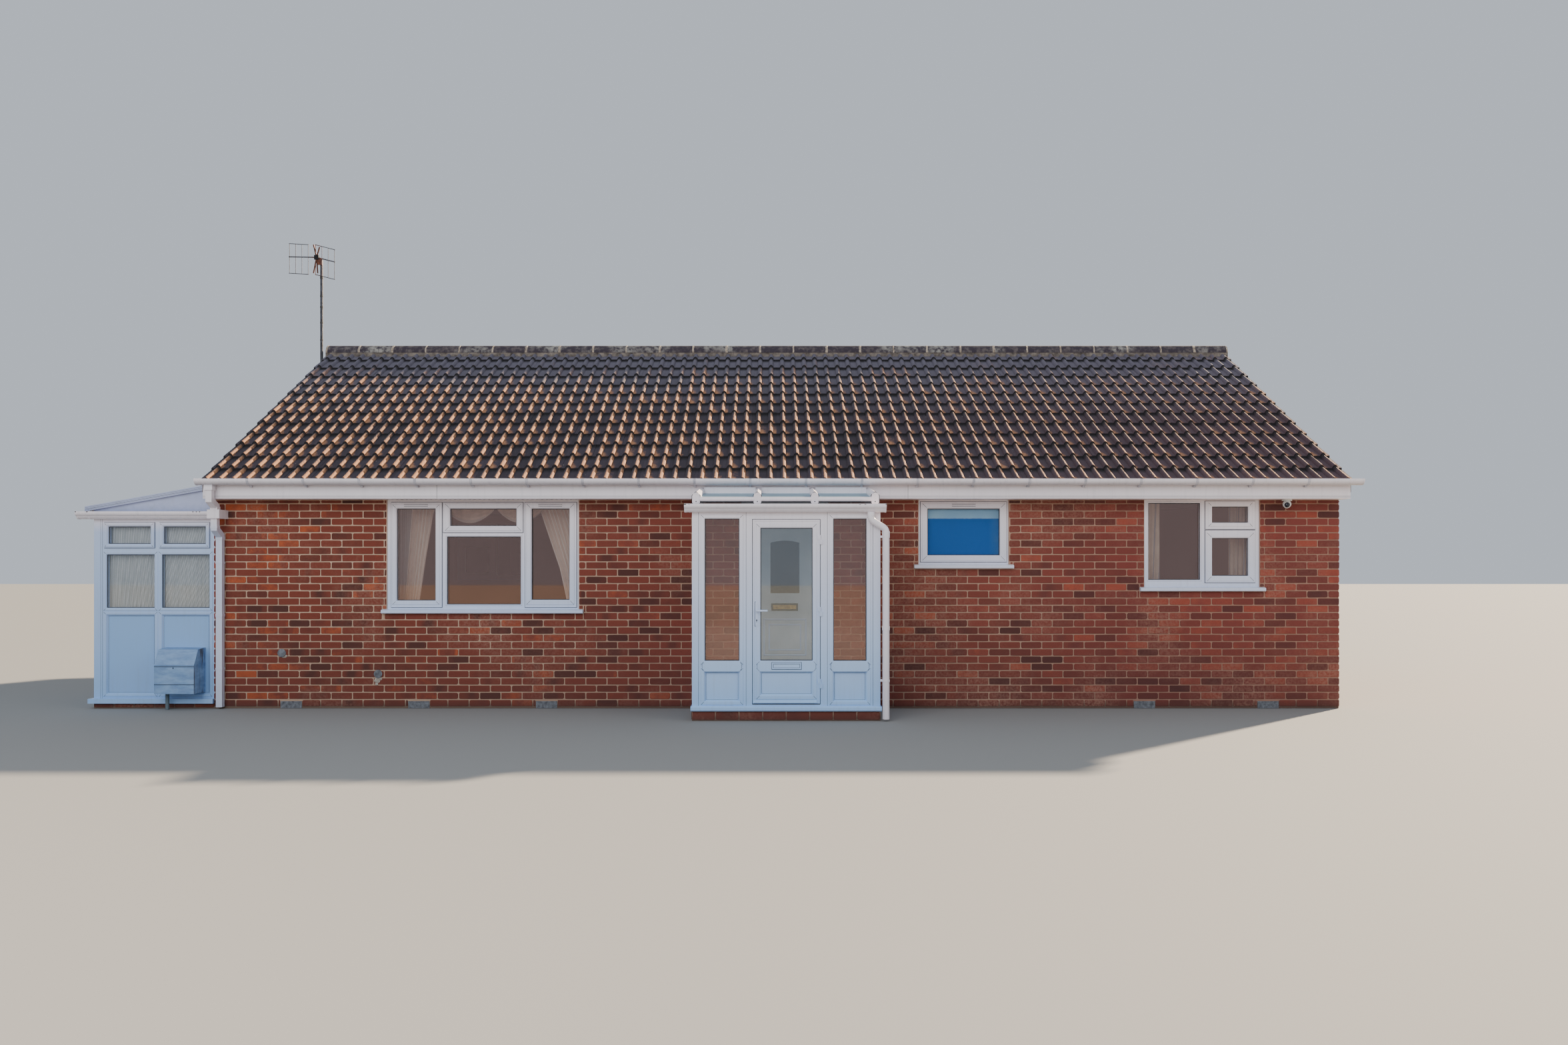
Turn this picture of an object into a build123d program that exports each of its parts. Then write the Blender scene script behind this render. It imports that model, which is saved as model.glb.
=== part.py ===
from build123d import *
import math
import os

# A brick bungalow under one tiled gable roof, with a glazed front porch and a side porch.
# Millimetres. X runs along the front from the middle of the house, Y runs back, Z is up from the ground.

# Body of the house
HOUSE_WIDTH = 12138.0
HOUSE_DEPTH = 6860.0
WALL = 280.0
FLOOR_TOP = 200.0
CEILING_UNDER = 2360.0
CEILING_THICK = 40.0

# Roof
ROOF_SLOPE = 0.536
EAVES_REACH = 280.0
EAVES_TILE_TOP = 2443.0
VERGE_REACH = 34.0
COURSES = 13
LAST_COURSE_SHARE = 0.75
TILE_STEP = 22.0
TILE_LAYER = 30.0
ROOF_THICK = 160.0
RIDGE_RADIUS = 110.0
RIDGE_WALL = 14.0
RIDGE_RISE = 103.0
RIDGE_TILES = 27
RIDGE_JOINT = 8.0
RIDGE_FOOT_IN = 5.0
RIDGE_PLUG = 30.0

# Eaves boards and rainwater goods
FASCIA_FACE = 230.0
FASCIA_THICK = 18.0
SOFFIT_UNDER = 2251.0
SOFFIT_THICK = 10.0
BOX_END = 20.0
GUTTER_RIM = 2456.0
GUTTER_RADIUS = 58.0
GUTTER_DROP = 9.0
GUTTER_WALL = 3.0
GUTTER_GAP = 6.0
GUTTER_BACK = 2405.0
GUTTER_PAST_LEFT = 60.0
GUTTER_PAST_RIGHT = 116.0
BRACKET_PITCH = 588.0
BRACKET_SHIFT = 3.0
BRACKET_WIDTH = 26.0
BRACKET_THICK = 3.0
SEAT_GAP = 0.3
PIPE_SQUARE = 65.0
PIPE_WALL = 3.0
PIPE_STAND_OFF = 20.0
PIPE_FROM_CORNER = 84.0
PIPE_FOOT = 20.0
PIPE_NECK = 2230.0
PIPE_ELBOWS = (1930.0, 1860.0)
REAR_PIPE_ELBOW = 2100.0
HOPPER_Z = (2042.0, 2136.0)
HOPPER_OUT = 170.0
HOPPER_HALF = (65.0, 50.0)
HOPPER_WALL = 4.0
HOPPER_SPOUT = 34.0
CLIP_TALL = 22.0
PIPE_CLIPS_Z = (420.0, 1560.0)

# Ogee gutters of the porches: points of the face as out from the wall and up from the foot
OGEE_HIGH = 81.0
OGEE_LIP = 100.0
OGEE_LIP_HIGH = 12.0
OGEE_FACE = ((46.0, 0.0), (66.0, 17.0), (78.0, 34.0), (94.0, 48.0))

# Windows of the front
FRAME_DEPTH = 60.0
FRAME_INSET = 15.0
SASH_PROUD = 12.0
BEAD = 8.0
GLASS = 24.0
SILL_THICK = 43.0
SILL_PROUD = 50.0
SILL_PAST = 50.0
SILL_BACK = 18.0
SILL_NOSE = (5.0, 8.0)
SILL_CUT = 6.0
LIVING_FROM_CORNER = (1860.0, 3932.0)
LIVING_SILL = 1068.0
SMALL_X = (1533.0, 2505.0)
SMALL_SILL = 1552.0
RIGHT_FROM_CORNER = (2099.0, 853.0)
RIGHT_SILL = 1307.0

# Lights of each window, in from its left, right, foot and head: fixed panes, then sashes with their panes
LIVING_FIXED = ((645, 628, 52, 397),)
LIVING_SASHES = (
    ((46, 1481, 22, 28), (105, 1549, 95, 95)),
    ((606, 605, 831, 28), (681, 674, 901, 95)),
    ((1491, 26, 22, 28), (1560, 102, 102, 95)),
)
SMALL_SASHES = (((22, 22, 28, 22), (97, 94, 100, 95)),)
RIGHT_FIXED = ((47, 637, 79, 33),)
RIGHT_SASHES = (
    ((662, 47, 628, 16), (735, 119, 698, 73)),
    ((662, 47, 49, 330), (735, 119, 123, 413)),
)

# Hangings inside the windows
RAIL_DOWN = (70.0, 45.0)
RAIL_OUT = 60.0
RAIL_PAST = (100.0, 60.0)
HANG_DEPTH = (15.0, 45.0)
HANG_BELOW = 60.0
DRAPES_IN = (520.0, 420.0)
CURTAINS_IN = (265.0, 225.0)
SWAG_DROP = 290.0
SWAG_GAP = 5.0
BLIND_INSET = 40.0
BLIND_THICK = 8.0

# Front porch
PORCH_X = (-840.0, 1029.0)
PORCH_OUT = 1070.0
PORCH_BASE_TOP = 95.0
PORCH_SILL_TOP = 144.0
PORCH_SILL_PROUD = 35.0
PORCH_SILL_SIDE = 12.0
PORCH_SILL_BEVEL = 10.0
PORCH_HEAD = 2150.0
PORCH_FRAME = 70.0
PORCH_POST = 70.0
PORCH_SLOPE = 0.12
PORCH_LIGHT_LEFT = (-714.0, -370.0)
PORCH_LIGHT_RIGHT = (562.0, 893.0)
PORCH_LIGHT_TOP = 2006.0
PORCH_RAIL = (485.0, 594.0)
PORCH_PANEL_FOOT = 194.0
PORCH_BAR_X = (-799.0, -191.0, 378.0, 978.0)
BAR_WIDTH = 64.0
BAR_STEM = 30.0
BAR_WEB = 16.0
BAR_DROP = 33.0
SHEET = 25.0
BAR_CAP = 42.0
BAR_PEAK = 18.0
BAR_RUN_ON = 120.0
NOSE_DEEP = 25.0
NOSE_PAST = (4.0, 12.0)
WALL_BAR = (34.0, 2369.0)
PORCH_SIDE_STILES = (40.0, 60.0)
RAIL_PROUD = 8.0
RAIL_WIDE = 14.0
RAIL_BEVEL = 6.0

# Porch gutter and its round downpipe
PORCH_RIM = 2149.0
PORCH_GUTTER_PAST = (72.0, 54.0)
PORCH_PIPE_RADIUS = 34.0
PORCH_PIPE_X = 935.0
PORCH_PIPE_OUT = (48.0, 35.0)
PORCH_PIPE_SIDE = 53.0
PORCH_PIPE_Z = (2068.0, 1990.0, 1900.0)
PORCH_PIPE_BEND = 60.0
PORCH_CLIPS_Z = (1826.0, 400.0)

# Porch door
DOOR_X = (-238.0, 430.0)
DOOR_Z = (168.0, 1996.0)
DOOR_THICK = 55.0
DOOR_CLEAR = 5.0
DOOR_STOP = 12.0
HINGE_RADIUS = 7.0
HINGE_OUT = 8.0
HINGE_LENGTH = 45.0
HINGE_PLATE = 22.0
DOOR_GLASS_X = (-161.0, 357.0)
DOOR_GLASS_Z = (597.0, 1914.0)
DOOR_PANEL_Z = (254.0, 485.0)
LETTER_X = (-46.0, 245.0)
LETTER_Z = (511.0, 578.0)
HANDLE_X = -198.0
HANDLE_Z = 1093.0
LETTER_BEVEL = 4.0
HANDLE_PLATE = (15.0, 10.0, 14.0)
HANDLE_PLATE_Z = (152.0, 86.0)
HANDLE_STEM = (9.0, 40.0)
HANDLE_LEVER = (9.0, 108.0, 4.0)
HANDLE_LEVER_Y = (50.0, 38.0)

# Front door inside the porch
ENTRY_X = (-380.0, 560.0)
ENTRY_FRAME = 60.0
ENTRY_INSET = 30.0
ENTRY_DEPTH = 90.0
ENTRY_LEAF = 45.0
ENTRY_SADDLE = 25.0
ENTRY_PANE_WIDTH = 314.0
ENTRY_PANE_Z = (1240.0, 1811.0)
ENTRY_PANE_RISE = 22.0
ENTRY_PANEL_Z = (585.0, 938.0)
ENTRY_PANEL_WIDTH = 418.0
ENTRY_TRIM = 4.0
ENTRY_TRIM_WIDE = 30.0
ENTRY_TRIM_BEVEL = 3.5
ENTRY_GLASS = (14.0, 32.0)

# Side porch
SIDE_WIDTH = 1303.0
SIDE_DEPTH = 2400.0
SIDE_BASE_TOP = 54.0
SIDE_SILL_TOP = 104.0
SIDE_SILL_PROUD = 45.0
SIDE_HEAD = 2044.0
SIDE_FRAME = 60.0
SIDE_SLOPE = 0.178
SIDE_ROOF_LEFT_TOP = 2178.0
SIDE_ROOF_PAST = 84.0
SIDE_ROOF_THICK = 45.0
SIDE_PANEL_Z = (155.0, 1008.0)
SIDE_LIGHT_Z = (1084.0, 1660.0)
SIDE_VENT_Z = (1775.0, 1962.0)
SIDE_LIGHTS_IN = ((137.0, 655.0), (734.0, 1249.0))
SIDE_BAYS = 4
SIDE_STILE = 60.0
SIDE_RIM = 2122.0
SIDE_GUTTER_PAST = 153.0
SIDE_VENT_INSET = 20.0
SIDE_SASH_RIM = 42.0
SIDE_ROOF_BEHIND = 40.0
SIDE_EDGE = (30.0, 8.0, 5.0)
PANEL_THICK = 24.0

# Small things on the walls
METER_IN = (770.0, 1195.0)
METER_Z = (178.0, 656.0)
METER_DEPTH = 240.0
METER_LID = 172.0
METER_TOP = (90.0, 12.0)
METER_GROOVE = (4.0, 8.0)
METER_POST = (130.0, 20.0)
CAMERA_FROM_CORNER = 604.0
CAMERA_OUT = 110.0
CAMERA_BASE = (52.0, 18.0)
CAMERA_BALL = (44.0, 52.0)
MAST_FROM_WALL = 124.0
MAST_BEHIND_RIDGE = 0.0
MAST_FOOT = 3300.0
MAST_TOP = 5690.0
MAST_RADIUS = 19.0
MAST_BRACKETS_UP = (120.0, 620.0)
MAST_ARM = 24.0
MAST_PLATE = (6.0, 120.0, 28.0, 52.0)
MAST_CLAMP = 5.0

# Aerial head, as places from its hub: each wing's boom, then how far its outer rods stand off
AERIAL_HUB = (-56.0, 41.0)
AERIAL_HUB_SIZE = (60.0, 30.0, 60.0)
AERIAL_CLAMP_X = (-40.0, 22.0)
AERIAL_CLAMP_Z = (-60.0, 30.0)
AERIAL_OUT = 14.0
AERIAL_WINGS = (((-107, -6), (-376, 8), 179, 224), ((-20, 6), (249, -63), 166, 238))
AERIAL_REFLECTOR = ((-42, 172), (40, 140), (-42, -214), (16, -214))
AERIAL_BOOM = 8.0
AERIAL_OUTER_ROD = 5.0
AERIAL_ROD = 3.5
AERIAL_RODS = 4
AERIAL_ROD_MARGIN = 0.03
AERIAL_ARM = 9.0

# Air bricks
AIR_BRICK = (228.0, 76.0)
AIR_BRICK_PROUD = 6.0
AIR_BRICK_FOOT = 2.0
AIR_BRICK_BORDER = 14.0
AIR_BRICK_SLOTS = 3
AIR_BRICK_SLOT = (10.0, 20.0, 3.0)
AIR_BRICKS_FROM_LEFT = (829.0, 2207.0, 3585.0)
AIR_BRICKS_FROM_RIGHT = (2099.0, 763.0)

HALF = HOUSE_WIDTH / 2
FRONT = -HOUSE_DEPTH / 2
INNER = FRONT + WALL
VERGE = HALF + VERGE_REACH
EAVES = FRONT - EAVES_REACH
FASCIA = FRONT - FASCIA_FACE
PORCH_FRONT = FRONT - PORCH_OUT
SIDE_LEFT = -HALF - SIDE_WIDTH
LIVING_X = (-HALF + LIVING_FROM_CORNER[0], -HALF + LIVING_FROM_CORNER[1])
RIGHT_X = (HALF - RIGHT_FROM_CORNER[0], HALF - RIGHT_FROM_CORNER[1])
AIR_BRICKS_X = [x - HALF for x in AIR_BRICKS_FROM_LEFT] + [HALF - x for x in AIR_BRICKS_FROM_RIGHT]
GAUGE = (HOUSE_DEPTH / 2 + EAVES_REACH) / (COURSES - 1 + LAST_COURSE_SHARE)
PIPE_LEFT_X = -HALF + PIPE_FROM_CORNER
SIDE_LIGHT_X = [(SIDE_LEFT + a, SIDE_LEFT + b) for a, b in SIDE_LIGHTS_IN]
METER_X = (SIDE_LEFT + METER_IN[0], SIDE_LEFT + METER_IN[1])
CAMERA_X = HALF - CAMERA_FROM_CORNER
MAST_X = -HALF - MAST_FROM_WALL

os.makedirs("parts", exist_ok=True)


def save(name, *solids):
    """Writes one sub-part, made of solids that don't touch each other, to its own file."""
    pieces = [s for shape in solids for s in shape.solids()]
    export_step(pieces[0] if len(pieces) == 1 else Compound(pieces), f"parts/{name}.step")


def block(x, y, z):
    """A box from three pairs of low and high values."""
    size = [b - a for a, b in (x, y, z)]
    middle = [(a + b) / 2 for a, b in (x, y, z)]
    return Pos(*middle) * Box(*size)


def prism_x(outline, x):
    """A profile of (y, z) points carried along X."""
    face = make_face(Polyline(*[(x[0], a, b) for a, b in outline], close=True))
    return extrude(face, amount=x[1] - x[0], dir=(1, 0, 0))


def prism_y(outline, y):
    """A profile of (x, z) points carried along Y."""
    face = make_face(Polyline(*[(a, y[0], b) for a, b in outline], close=True))
    return extrude(face, amount=y[1] - y[0], dir=(0, 1, 0))


def to_rear(shape):
    """The same piece turned half round, for the back of the house."""
    return Rot(0, 0, 180) * shape


def tile_top(y):
    """Height of the tiles' lower edges at a distance from the ridge line."""
    return EAVES_TILE_TOP + (HOUSE_DEPTH / 2 + EAVES_REACH - abs(y)) * ROOF_SLOPE


def slab_under(y):
    return tile_top(y) - ROOF_THICK


# Walls, floor and ceiling
def window_hole(x, foot):
    """Opening through the wall with a rebate for the back of the sill."""
    rebate = block(x, (FRONT - 1, FRONT + FRAME_INSET + FRAME_DEPTH), (foot - SILL_BACK, foot))
    return block(x, (FRONT - 1, INNER + 1), (foot, SOFFIT_UNDER)) + rebate


def long_wall(x, foot=0.0):
    """Front or rear wall with its top bevelled to the roof."""
    outline = [(FRONT, foot), (INNER, foot), (INNER, slab_under(INNER)), (FRONT, slab_under(FRONT))]
    return prism_x(outline, x)


def front_holes():
    feet = ((LIVING_X, LIVING_SILL), (SMALL_X, SMALL_SILL), (RIGHT_X, RIGHT_SILL))
    return [window_hole(x, foot) for x, foot in feet]


def make_walls():
    living, small, right = front_holes()
    save("front_wall_left", long_wall((-HALF, ENTRY_X[0])) - living)
    save("front_wall_right", long_wall((ENTRY_X[1], HALF)) - small - right)
    save("front_wall_over_door", long_wall(ENTRY_X, SOFFIT_UNDER))
    save("rear_wall", to_rear(long_wall((-HALF, HALF)) - living - small - right))
    top = slab_under(INNER)
    gable = [(INNER, 0), (-INNER, 0), (-INNER, top), (0, slab_under(0)), (INNER, top)]
    save("left_gable_wall", prism_x(gable, (-HALF, -HALF + WALL)))
    save("right_gable_wall", prism_x(gable, (HALF - WALL, HALF)))


def make_floor_and_ceiling():
    inside_x = (-HALF + WALL, HALF - WALL)
    floor = block(inside_x, (INNER, -INNER), (0, FLOOR_TOP))
    floor += block(ENTRY_X, (FRONT, INNER), (0, FLOOR_TOP))
    save("floor_slab", floor)
    save("ceiling", block(inside_x, (INNER, -INNER), (CEILING_UNDER, CEILING_UNDER + CEILING_THICK)))


# Roof
def slope_outline():
    """Saw-tooth top of the tile courses over the plain underside of the rafters."""
    points = [(EAVES, tile_top(EAVES) - TILE_LAYER), (EAVES, tile_top(EAVES))]
    for course in range(1, COURSES):
        y = EAVES + course * GAUGE
        points += [(y, tile_top(y) - TILE_STEP), (y, tile_top(y))]
    tail = FASCIA + FASCIA_THICK
    points += [(0, ridge_bed()), (0, slab_under(0))]
    points += [(tail, slab_under(tail)), (tail, tile_top(tail) - TILE_LAYER)]
    return points


def last_edge():
    return EAVES + (COURSES - 1) * GAUGE


def ridge_bed():
    """Top of the last course where the two slopes meet."""
    return tile_top(0) - TILE_STEP * (-last_edge()) / GAUGE


def last_course(y):
    """Surface of the last course at a distance from the ridge line."""
    share = abs(y) / -last_edge()
    return ridge_bed() + share * (tile_top(last_edge()) - ridge_bed())


def make_roof():
    slope = prism_x(slope_outline(), (-VERGE, VERGE))
    save("roof_front_slope", slope)
    save("roof_rear_slope", to_rear(slope))
    spring = tile_top(0) + RIDGE_RISE - RIDGE_RADIUS
    foot = RIDGE_RADIUS - RIDGE_FOOT_IN
    inner = RIDGE_RADIUS - RIDGE_WALL
    low = last_course(foot)
    outline = [(-foot, low), (0, ridge_bed()), (foot, low), (foot, spring), (-foot, spring)]
    bedding = prism_x(outline, (-VERGE, VERGE))
    for end in (-VERGE, VERGE - RIDGE_PLUG):
        middle = Pos(end + RIDGE_PLUG / 2, 0, spring)
        plug = middle * Rot(0, 90, 0) * Cylinder(inner - SEAT_GAP, RIDGE_PLUG)
        bedding += plug & block((end, end + RIDGE_PLUG), (-inner, inner), (spring, spring + inner))
    save("ridge_bedding", bedding)
    pitch = 2 * VERGE / RIDGE_TILES
    ring = Cylinder(RIDGE_RADIUS, pitch - RIDGE_JOINT) - Cylinder(inner, pitch)
    ring = Rot(0, 90, 0) * ring
    half = ring & block((-pitch, pitch), (-RIDGE_RADIUS, RIDGE_RADIUS), (0, RIDGE_RADIUS))
    save("ridge_tiles", *[Pos(-VERGE + pitch * (n + 0.5), 0, spring) * half for n in range(RIDGE_TILES)])


# Eaves
def eaves_box():
    """Fascia and soffit as one folded board, closed by a box end at each gable."""
    back = FASCIA + FASCIA_THICK
    length = (-HALF - BOX_END, HALF + BOX_END)
    top = [(FASCIA, tile_top(FASCIA) - TILE_LAYER), (back, tile_top(back) - TILE_LAYER)]
    board = prism_x([(back, SOFFIT_UNDER), (FASCIA, SOFFIT_UNDER), *top], length)
    soffit = block((-HALF, HALF), (back, FRONT), (SOFFIT_UNDER, SOFFIT_UNDER + SOFFIT_THICK))
    board += soffit
    end = [(back, SOFFIT_UNDER), (FRONT, SOFFIT_UNDER), (FRONT, slab_under(FRONT)), (back, slab_under(back))]
    board += prism_x(end, (length[0], -HALF))
    board += prism_x(end, (HALF, length[1]))
    return board


def gutter_section(radius, centre_y, x):
    """Half-round trough with short straight sides, as a solid bar of its outline."""
    spring = GUTTER_RIM - GUTTER_DROP
    left = (x, centre_y - radius, spring)
    right = (x, centre_y + radius, spring)
    bowl = ThreePointArc(left, (x, centre_y, spring - radius), right)
    rim = Polyline(right, (x, centre_y + radius, GUTTER_RIM), (x, centre_y - radius, GUTTER_RIM), left)
    return make_face(bowl + rim)


def gutter_bar(radius, x):
    centre = FASCIA - GUTTER_GAP - GUTTER_RADIUS
    return extrude(gutter_section(radius, centre, x[0]), amount=x[1] - x[0], dir=(1, 0, 0))


def house_gutter():
    span = (-HALF - GUTTER_PAST_LEFT, HALF + GUTTER_PAST_RIGHT)
    inside = (span[0] + GUTTER_WALL, span[1] - GUTTER_WALL)
    return gutter_bar(GUTTER_RADIUS, span) - gutter_bar(GUTTER_RADIUS - GUTTER_WALL, inside) - under_tiles()


def under_tiles():
    """Space at the back of the gutter that the lowest tiles reach into."""
    back = FASCIA - GUTTER_GAP - GUTTER_RADIUS / 2
    return block((-VERGE - 200, VERGE + 200), (back, FASCIA), (GUTTER_BACK, GUTTER_RIM + 20))


def gutter_brackets():
    """Strap brackets that hug the gutter and stand on the fascia."""
    outer = GUTTER_RADIUS + SEAT_GAP + BRACKET_THICK
    count = int(HOUSE_WIDTH / BRACKET_PITCH)
    first = BRACKET_SHIFT - BRACKET_PITCH * (count - 1) / 2
    straps = []
    for n in range(count):
        x = (first + n * BRACKET_PITCH, first + n * BRACKET_PITCH + BRACKET_WIDTH)
        arm = block(x, (FASCIA - GUTTER_GAP - GUTTER_RADIUS / 2, FASCIA), (GUTTER_BACK - 35, GUTTER_BACK))
        strap = gutter_bar(outer, x) + arm
        straps.append(strap - gutter_bar(GUTTER_RADIUS + SEAT_GAP, x) - under_tiles())
    return straps


def square_pipe(points):
    """Square tube along straight runs with mitred bends."""
    route = Polyline(*points)
    start = Plane(origin=points[0], z_dir=route % 0)
    hollow = PIPE_SQUARE - 2 * PIPE_WALL
    ring = Rectangle(PIPE_SQUARE, PIPE_SQUARE) - Rectangle(hollow, hollow)
    return sweep(start * ring, path=route, transition=Transition.RIGHT)


def pipe_line_y():
    return FRONT - PIPE_STAND_OFF - PIPE_SQUARE / 2


def pipe_clip(z):
    """Flat strap round a square downpipe, with a stem to the wall."""
    y = pipe_line_y()
    half = PIPE_SQUARE / 2 + SEAT_GAP
    out = half + BRACKET_THICK
    tall = (z, z + CLIP_TALL)
    strap = block((-out, out), (y - out, y + out), tall) - block((-half, half), (y - half, y + half), tall)
    strap += block((-CLIP_TALL / 2, CLIP_TALL / 2), (y + out - 1, FRONT), tall)
    return Pos(PIPE_LEFT_X, 0, 0) * strap


def make_eaves():
    board = eaves_box()
    save("eaves_boards", board, to_rear(board))
    gutter = house_gutter()
    save("gutters", gutter, to_rear(gutter))
    straps = gutter_brackets()
    save("gutter_brackets", *straps, *[to_rear(s) for s in straps])


def hopper_y():
    return FRONT - HOPPER_OUT


def make_downpipes():
    trough = FASCIA - GUTTER_GAP - GUTTER_RADIUS
    bottom = GUTTER_RIM - GUTTER_DROP - GUTTER_RADIUS
    x = PIPE_LEFT_X
    wall_y = pipe_line_y()
    hopper = hopper_y()
    top = (x, trough, bottom)
    bend = (x, trough, PIPE_NECK)
    foot = (x, wall_y, PIPE_FOOT)
    neck = square_pipe([top, bend, (x, hopper, HOPPER_Z[1] + HOPPER_SPOUT), (x, hopper, HOPPER_Z[1])])
    elbows = [(x, hopper, PIPE_ELBOWS[0]), (x, wall_y, PIPE_ELBOWS[1])]
    lower = square_pipe([(x, hopper, HOPPER_Z[0]), *elbows, foot])
    back = square_pipe([top, bend, (x, wall_y, REAR_PIPE_ELBOW), foot])
    clips = [pipe_clip(z) for z in PIPE_CLIPS_Z]
    save("downpipes", neck, lower, to_rear(back))
    return clips + [to_rear(clip) for clip in clips]


# Windows
def ring_of(x, z, hole_x, hole_z, y):
    return block(x, y, z) - block(hole_x, (y[0] - 1, y[1] + 1), hole_z)


def bevelled_sash(x, z, hole_x, hole_z, y):
    """Raised sash with its glazing bead bevelled towards the glass."""
    sash = ring_of(x, z, hole_x, hole_z, y)
    front = sash.faces().sort_by(Axis.Y)[0]
    return chamfer(front.inner_wires()[0].edges(), BEAD)


def window_frame(x, z, fixed, sashes):
    """One frame with fixed lights, and raised sashes given as outer and glass sizes."""
    y = (FRONT + FRAME_INSET, FRONT + FRAME_INSET + FRAME_DEPTH)
    frame = block(x, y, z)
    for hole_x, hole_z in fixed:
        frame -= block(hole_x, (y[0] - 1, y[1] + 1), hole_z)
    for outer_x, outer_z, hole_x, hole_z in sashes:
        frame -= block(hole_x, (y[0] - 1, y[1] + 1), hole_z)
        frame += bevelled_sash(outer_x, outer_z, hole_x, hole_z, (y[0] - SASH_PROUD, y[0]))
    return frame


def pane(hole_x, hole_z):
    y = FRONT + FRAME_INSET + (FRAME_DEPTH - GLASS) / 2
    return block(hole_x, (y, y + GLASS), hole_z)


def sill(x, top):
    """Projecting board with a bevelled nose and a short back under the frame."""
    nose = FRONT - SILL_PROUD
    back = FRONT + FRAME_INSET + FRAME_DEPTH
    foot = top - SILL_THICK
    fall, drop = SILL_NOSE
    tip = [(FRONT - fall, top), (nose, top - drop), (nose, foot + SILL_CUT)]
    tip += [(nose + SILL_CUT, foot), (FRONT, foot)]
    middle = prism_x([(back, top), *tip, (FRONT, top - SILL_BACK), (back, top - SILL_BACK)], x)
    ear = [(FRONT, top), *tip]
    return middle + prism_x(ear, (x[0] - SILL_PAST, x[0])) + prism_x(ear, (x[1], x[1] + SILL_PAST))


def inside(x, z, borders):
    """Spans left of a window's own after its borders are taken off."""
    left, right, foot, head = borders
    return (x[0] + left, x[1] - right), (z[0] + foot, z[1] - head)


def window_plan():
    """Each front window as its x, z, fixed lights and sashes."""
    windows = (
        (LIVING_X, LIVING_SILL, LIVING_FIXED, LIVING_SASHES),
        (SMALL_X, SMALL_SILL, (), SMALL_SASHES),
        (RIGHT_X, RIGHT_SILL, RIGHT_FIXED, RIGHT_SASHES),
    )
    plans = []
    for x, low, fixed, sashes in windows:
        z = (low, SOFFIT_UNDER)
        lights = [inside(x, z, borders) for borders in fixed]
        plans.append((x, z, lights, [inside(x, z, outer) + inside(x, z, hole) for outer, hole in sashes]))
    return plans


def make_windows():
    plans = window_plan()
    frames = [window_frame(*plan) for plan in plans]
    for name, frame in zip(("living_window", "small_window", "right_window"), frames):
        save(name, frame)
    save("rear_windows", *[to_rear(frame) for frame in frames])
    panes = []
    sills = []
    for x, z, fixed, sashes in plans:
        panes += [pane(hole_x, hole_z) for hole_x, hole_z in fixed]
        panes += [pane(hole_x, hole_z) for outer_x, outer_z, hole_x, hole_z in sashes]
        sills.append(sill(x, z[0]))
    save("window_glass", *panes, *[to_rear(p) for p in panes])
    save("window_sills", *sills, *[to_rear(s) for s in sills])


def make_curtains():
    """Rails on the inner wall, with the hangings under them as plain slabs."""
    rail_z = (CEILING_UNDER - RAIL_DOWN[0], CEILING_UNDER - RAIL_DOWN[1])
    spans = [(x[0] - past, x[1] + past) for x, past in zip((LIVING_X, RIGHT_X), RAIL_PAST)]
    save("curtain_rails", *[block(s, (INNER, INNER + RAIL_OUT), rail_z) for s in spans])
    hang_y = (INNER + HANG_DEPTH[0], INNER + HANG_DEPTH[1])
    full = (LIVING_SILL - HANG_BELOW, rail_z[0])
    drapes = [(spans[0][0], LIVING_X[0] + DRAPES_IN[0]), (LIVING_X[1] - DRAPES_IN[1], spans[0][1])]
    swag_x = (drapes[0][1] + SWAG_GAP, drapes[1][0] - SWAG_GAP)
    swags = block(swag_x, hang_y, (rail_z[0] - SWAG_DROP, rail_z[0]))
    save("living_curtains", *[block(d, hang_y, full) for d in drapes], swags)
    full = (RIGHT_SILL - HANG_BELOW, rail_z[0])
    sides = [(spans[1][0], RIGHT_X[0] + CURTAINS_IN[0]), (RIGHT_X[1] - CURTAINS_IN[1], spans[1][1])]
    save("right_curtains", *[block(s, hang_y, full) for s in sides])
    back = FRONT + FRAME_INSET + FRAME_DEPTH
    blind_x = (SMALL_X[0] + BLIND_INSET, SMALL_X[1] - BLIND_INSET)
    blind_z = (SMALL_SILL + BLIND_INSET, SOFFIT_UNDER - BLIND_INSET)
    save("small_window_blind", block(blind_x, (back, back + BLIND_THICK), blind_z))


# Front porch
def make_porch_bases():
    back = FRONT + SIDE_DEPTH
    side = block((SIDE_LEFT, -HALF), (FRONT, back), (0, SIDE_BASE_TOP))
    save("porch_bases", block(PORCH_X, (PORCH_FRONT, FRONT), (0, PORCH_BASE_TOP)), side)
    out = (PORCH_X[0] - PORCH_SILL_SIDE, PORCH_X[1] + PORCH_SILL_SIDE)
    inner = (PORCH_X[0] + PORCH_POST, PORCH_X[1] - PORCH_POST)
    z = (PORCH_BASE_TOP, PORCH_SILL_TOP)
    board = block(out, (PORCH_FRONT - PORCH_SILL_PROUD, FRONT), z)
    board -= block(inner, (PORCH_FRONT + PORCH_FRAME, FRONT + 1), z)
    front = board.faces().filter_by(Axis.Y).sort_by(Axis.Y)[0]
    board = chamfer(front.edges().filter_by(Axis.X), PORCH_SILL_BEVEL)
    side_z = (SIDE_BASE_TOP, SIDE_SILL_TOP)
    proud = SIDE_SILL_PROUD
    side_out = block((SIDE_LEFT - proud, -HALF), (FRONT - proud, back + proud), side_z)
    side_in = block((SIDE_LEFT + SIDE_FRAME, -HALF), (FRONT + SIDE_FRAME, back - SIDE_FRAME), side_z)
    save("porch_sills", board, side_out - side_in)


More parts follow.
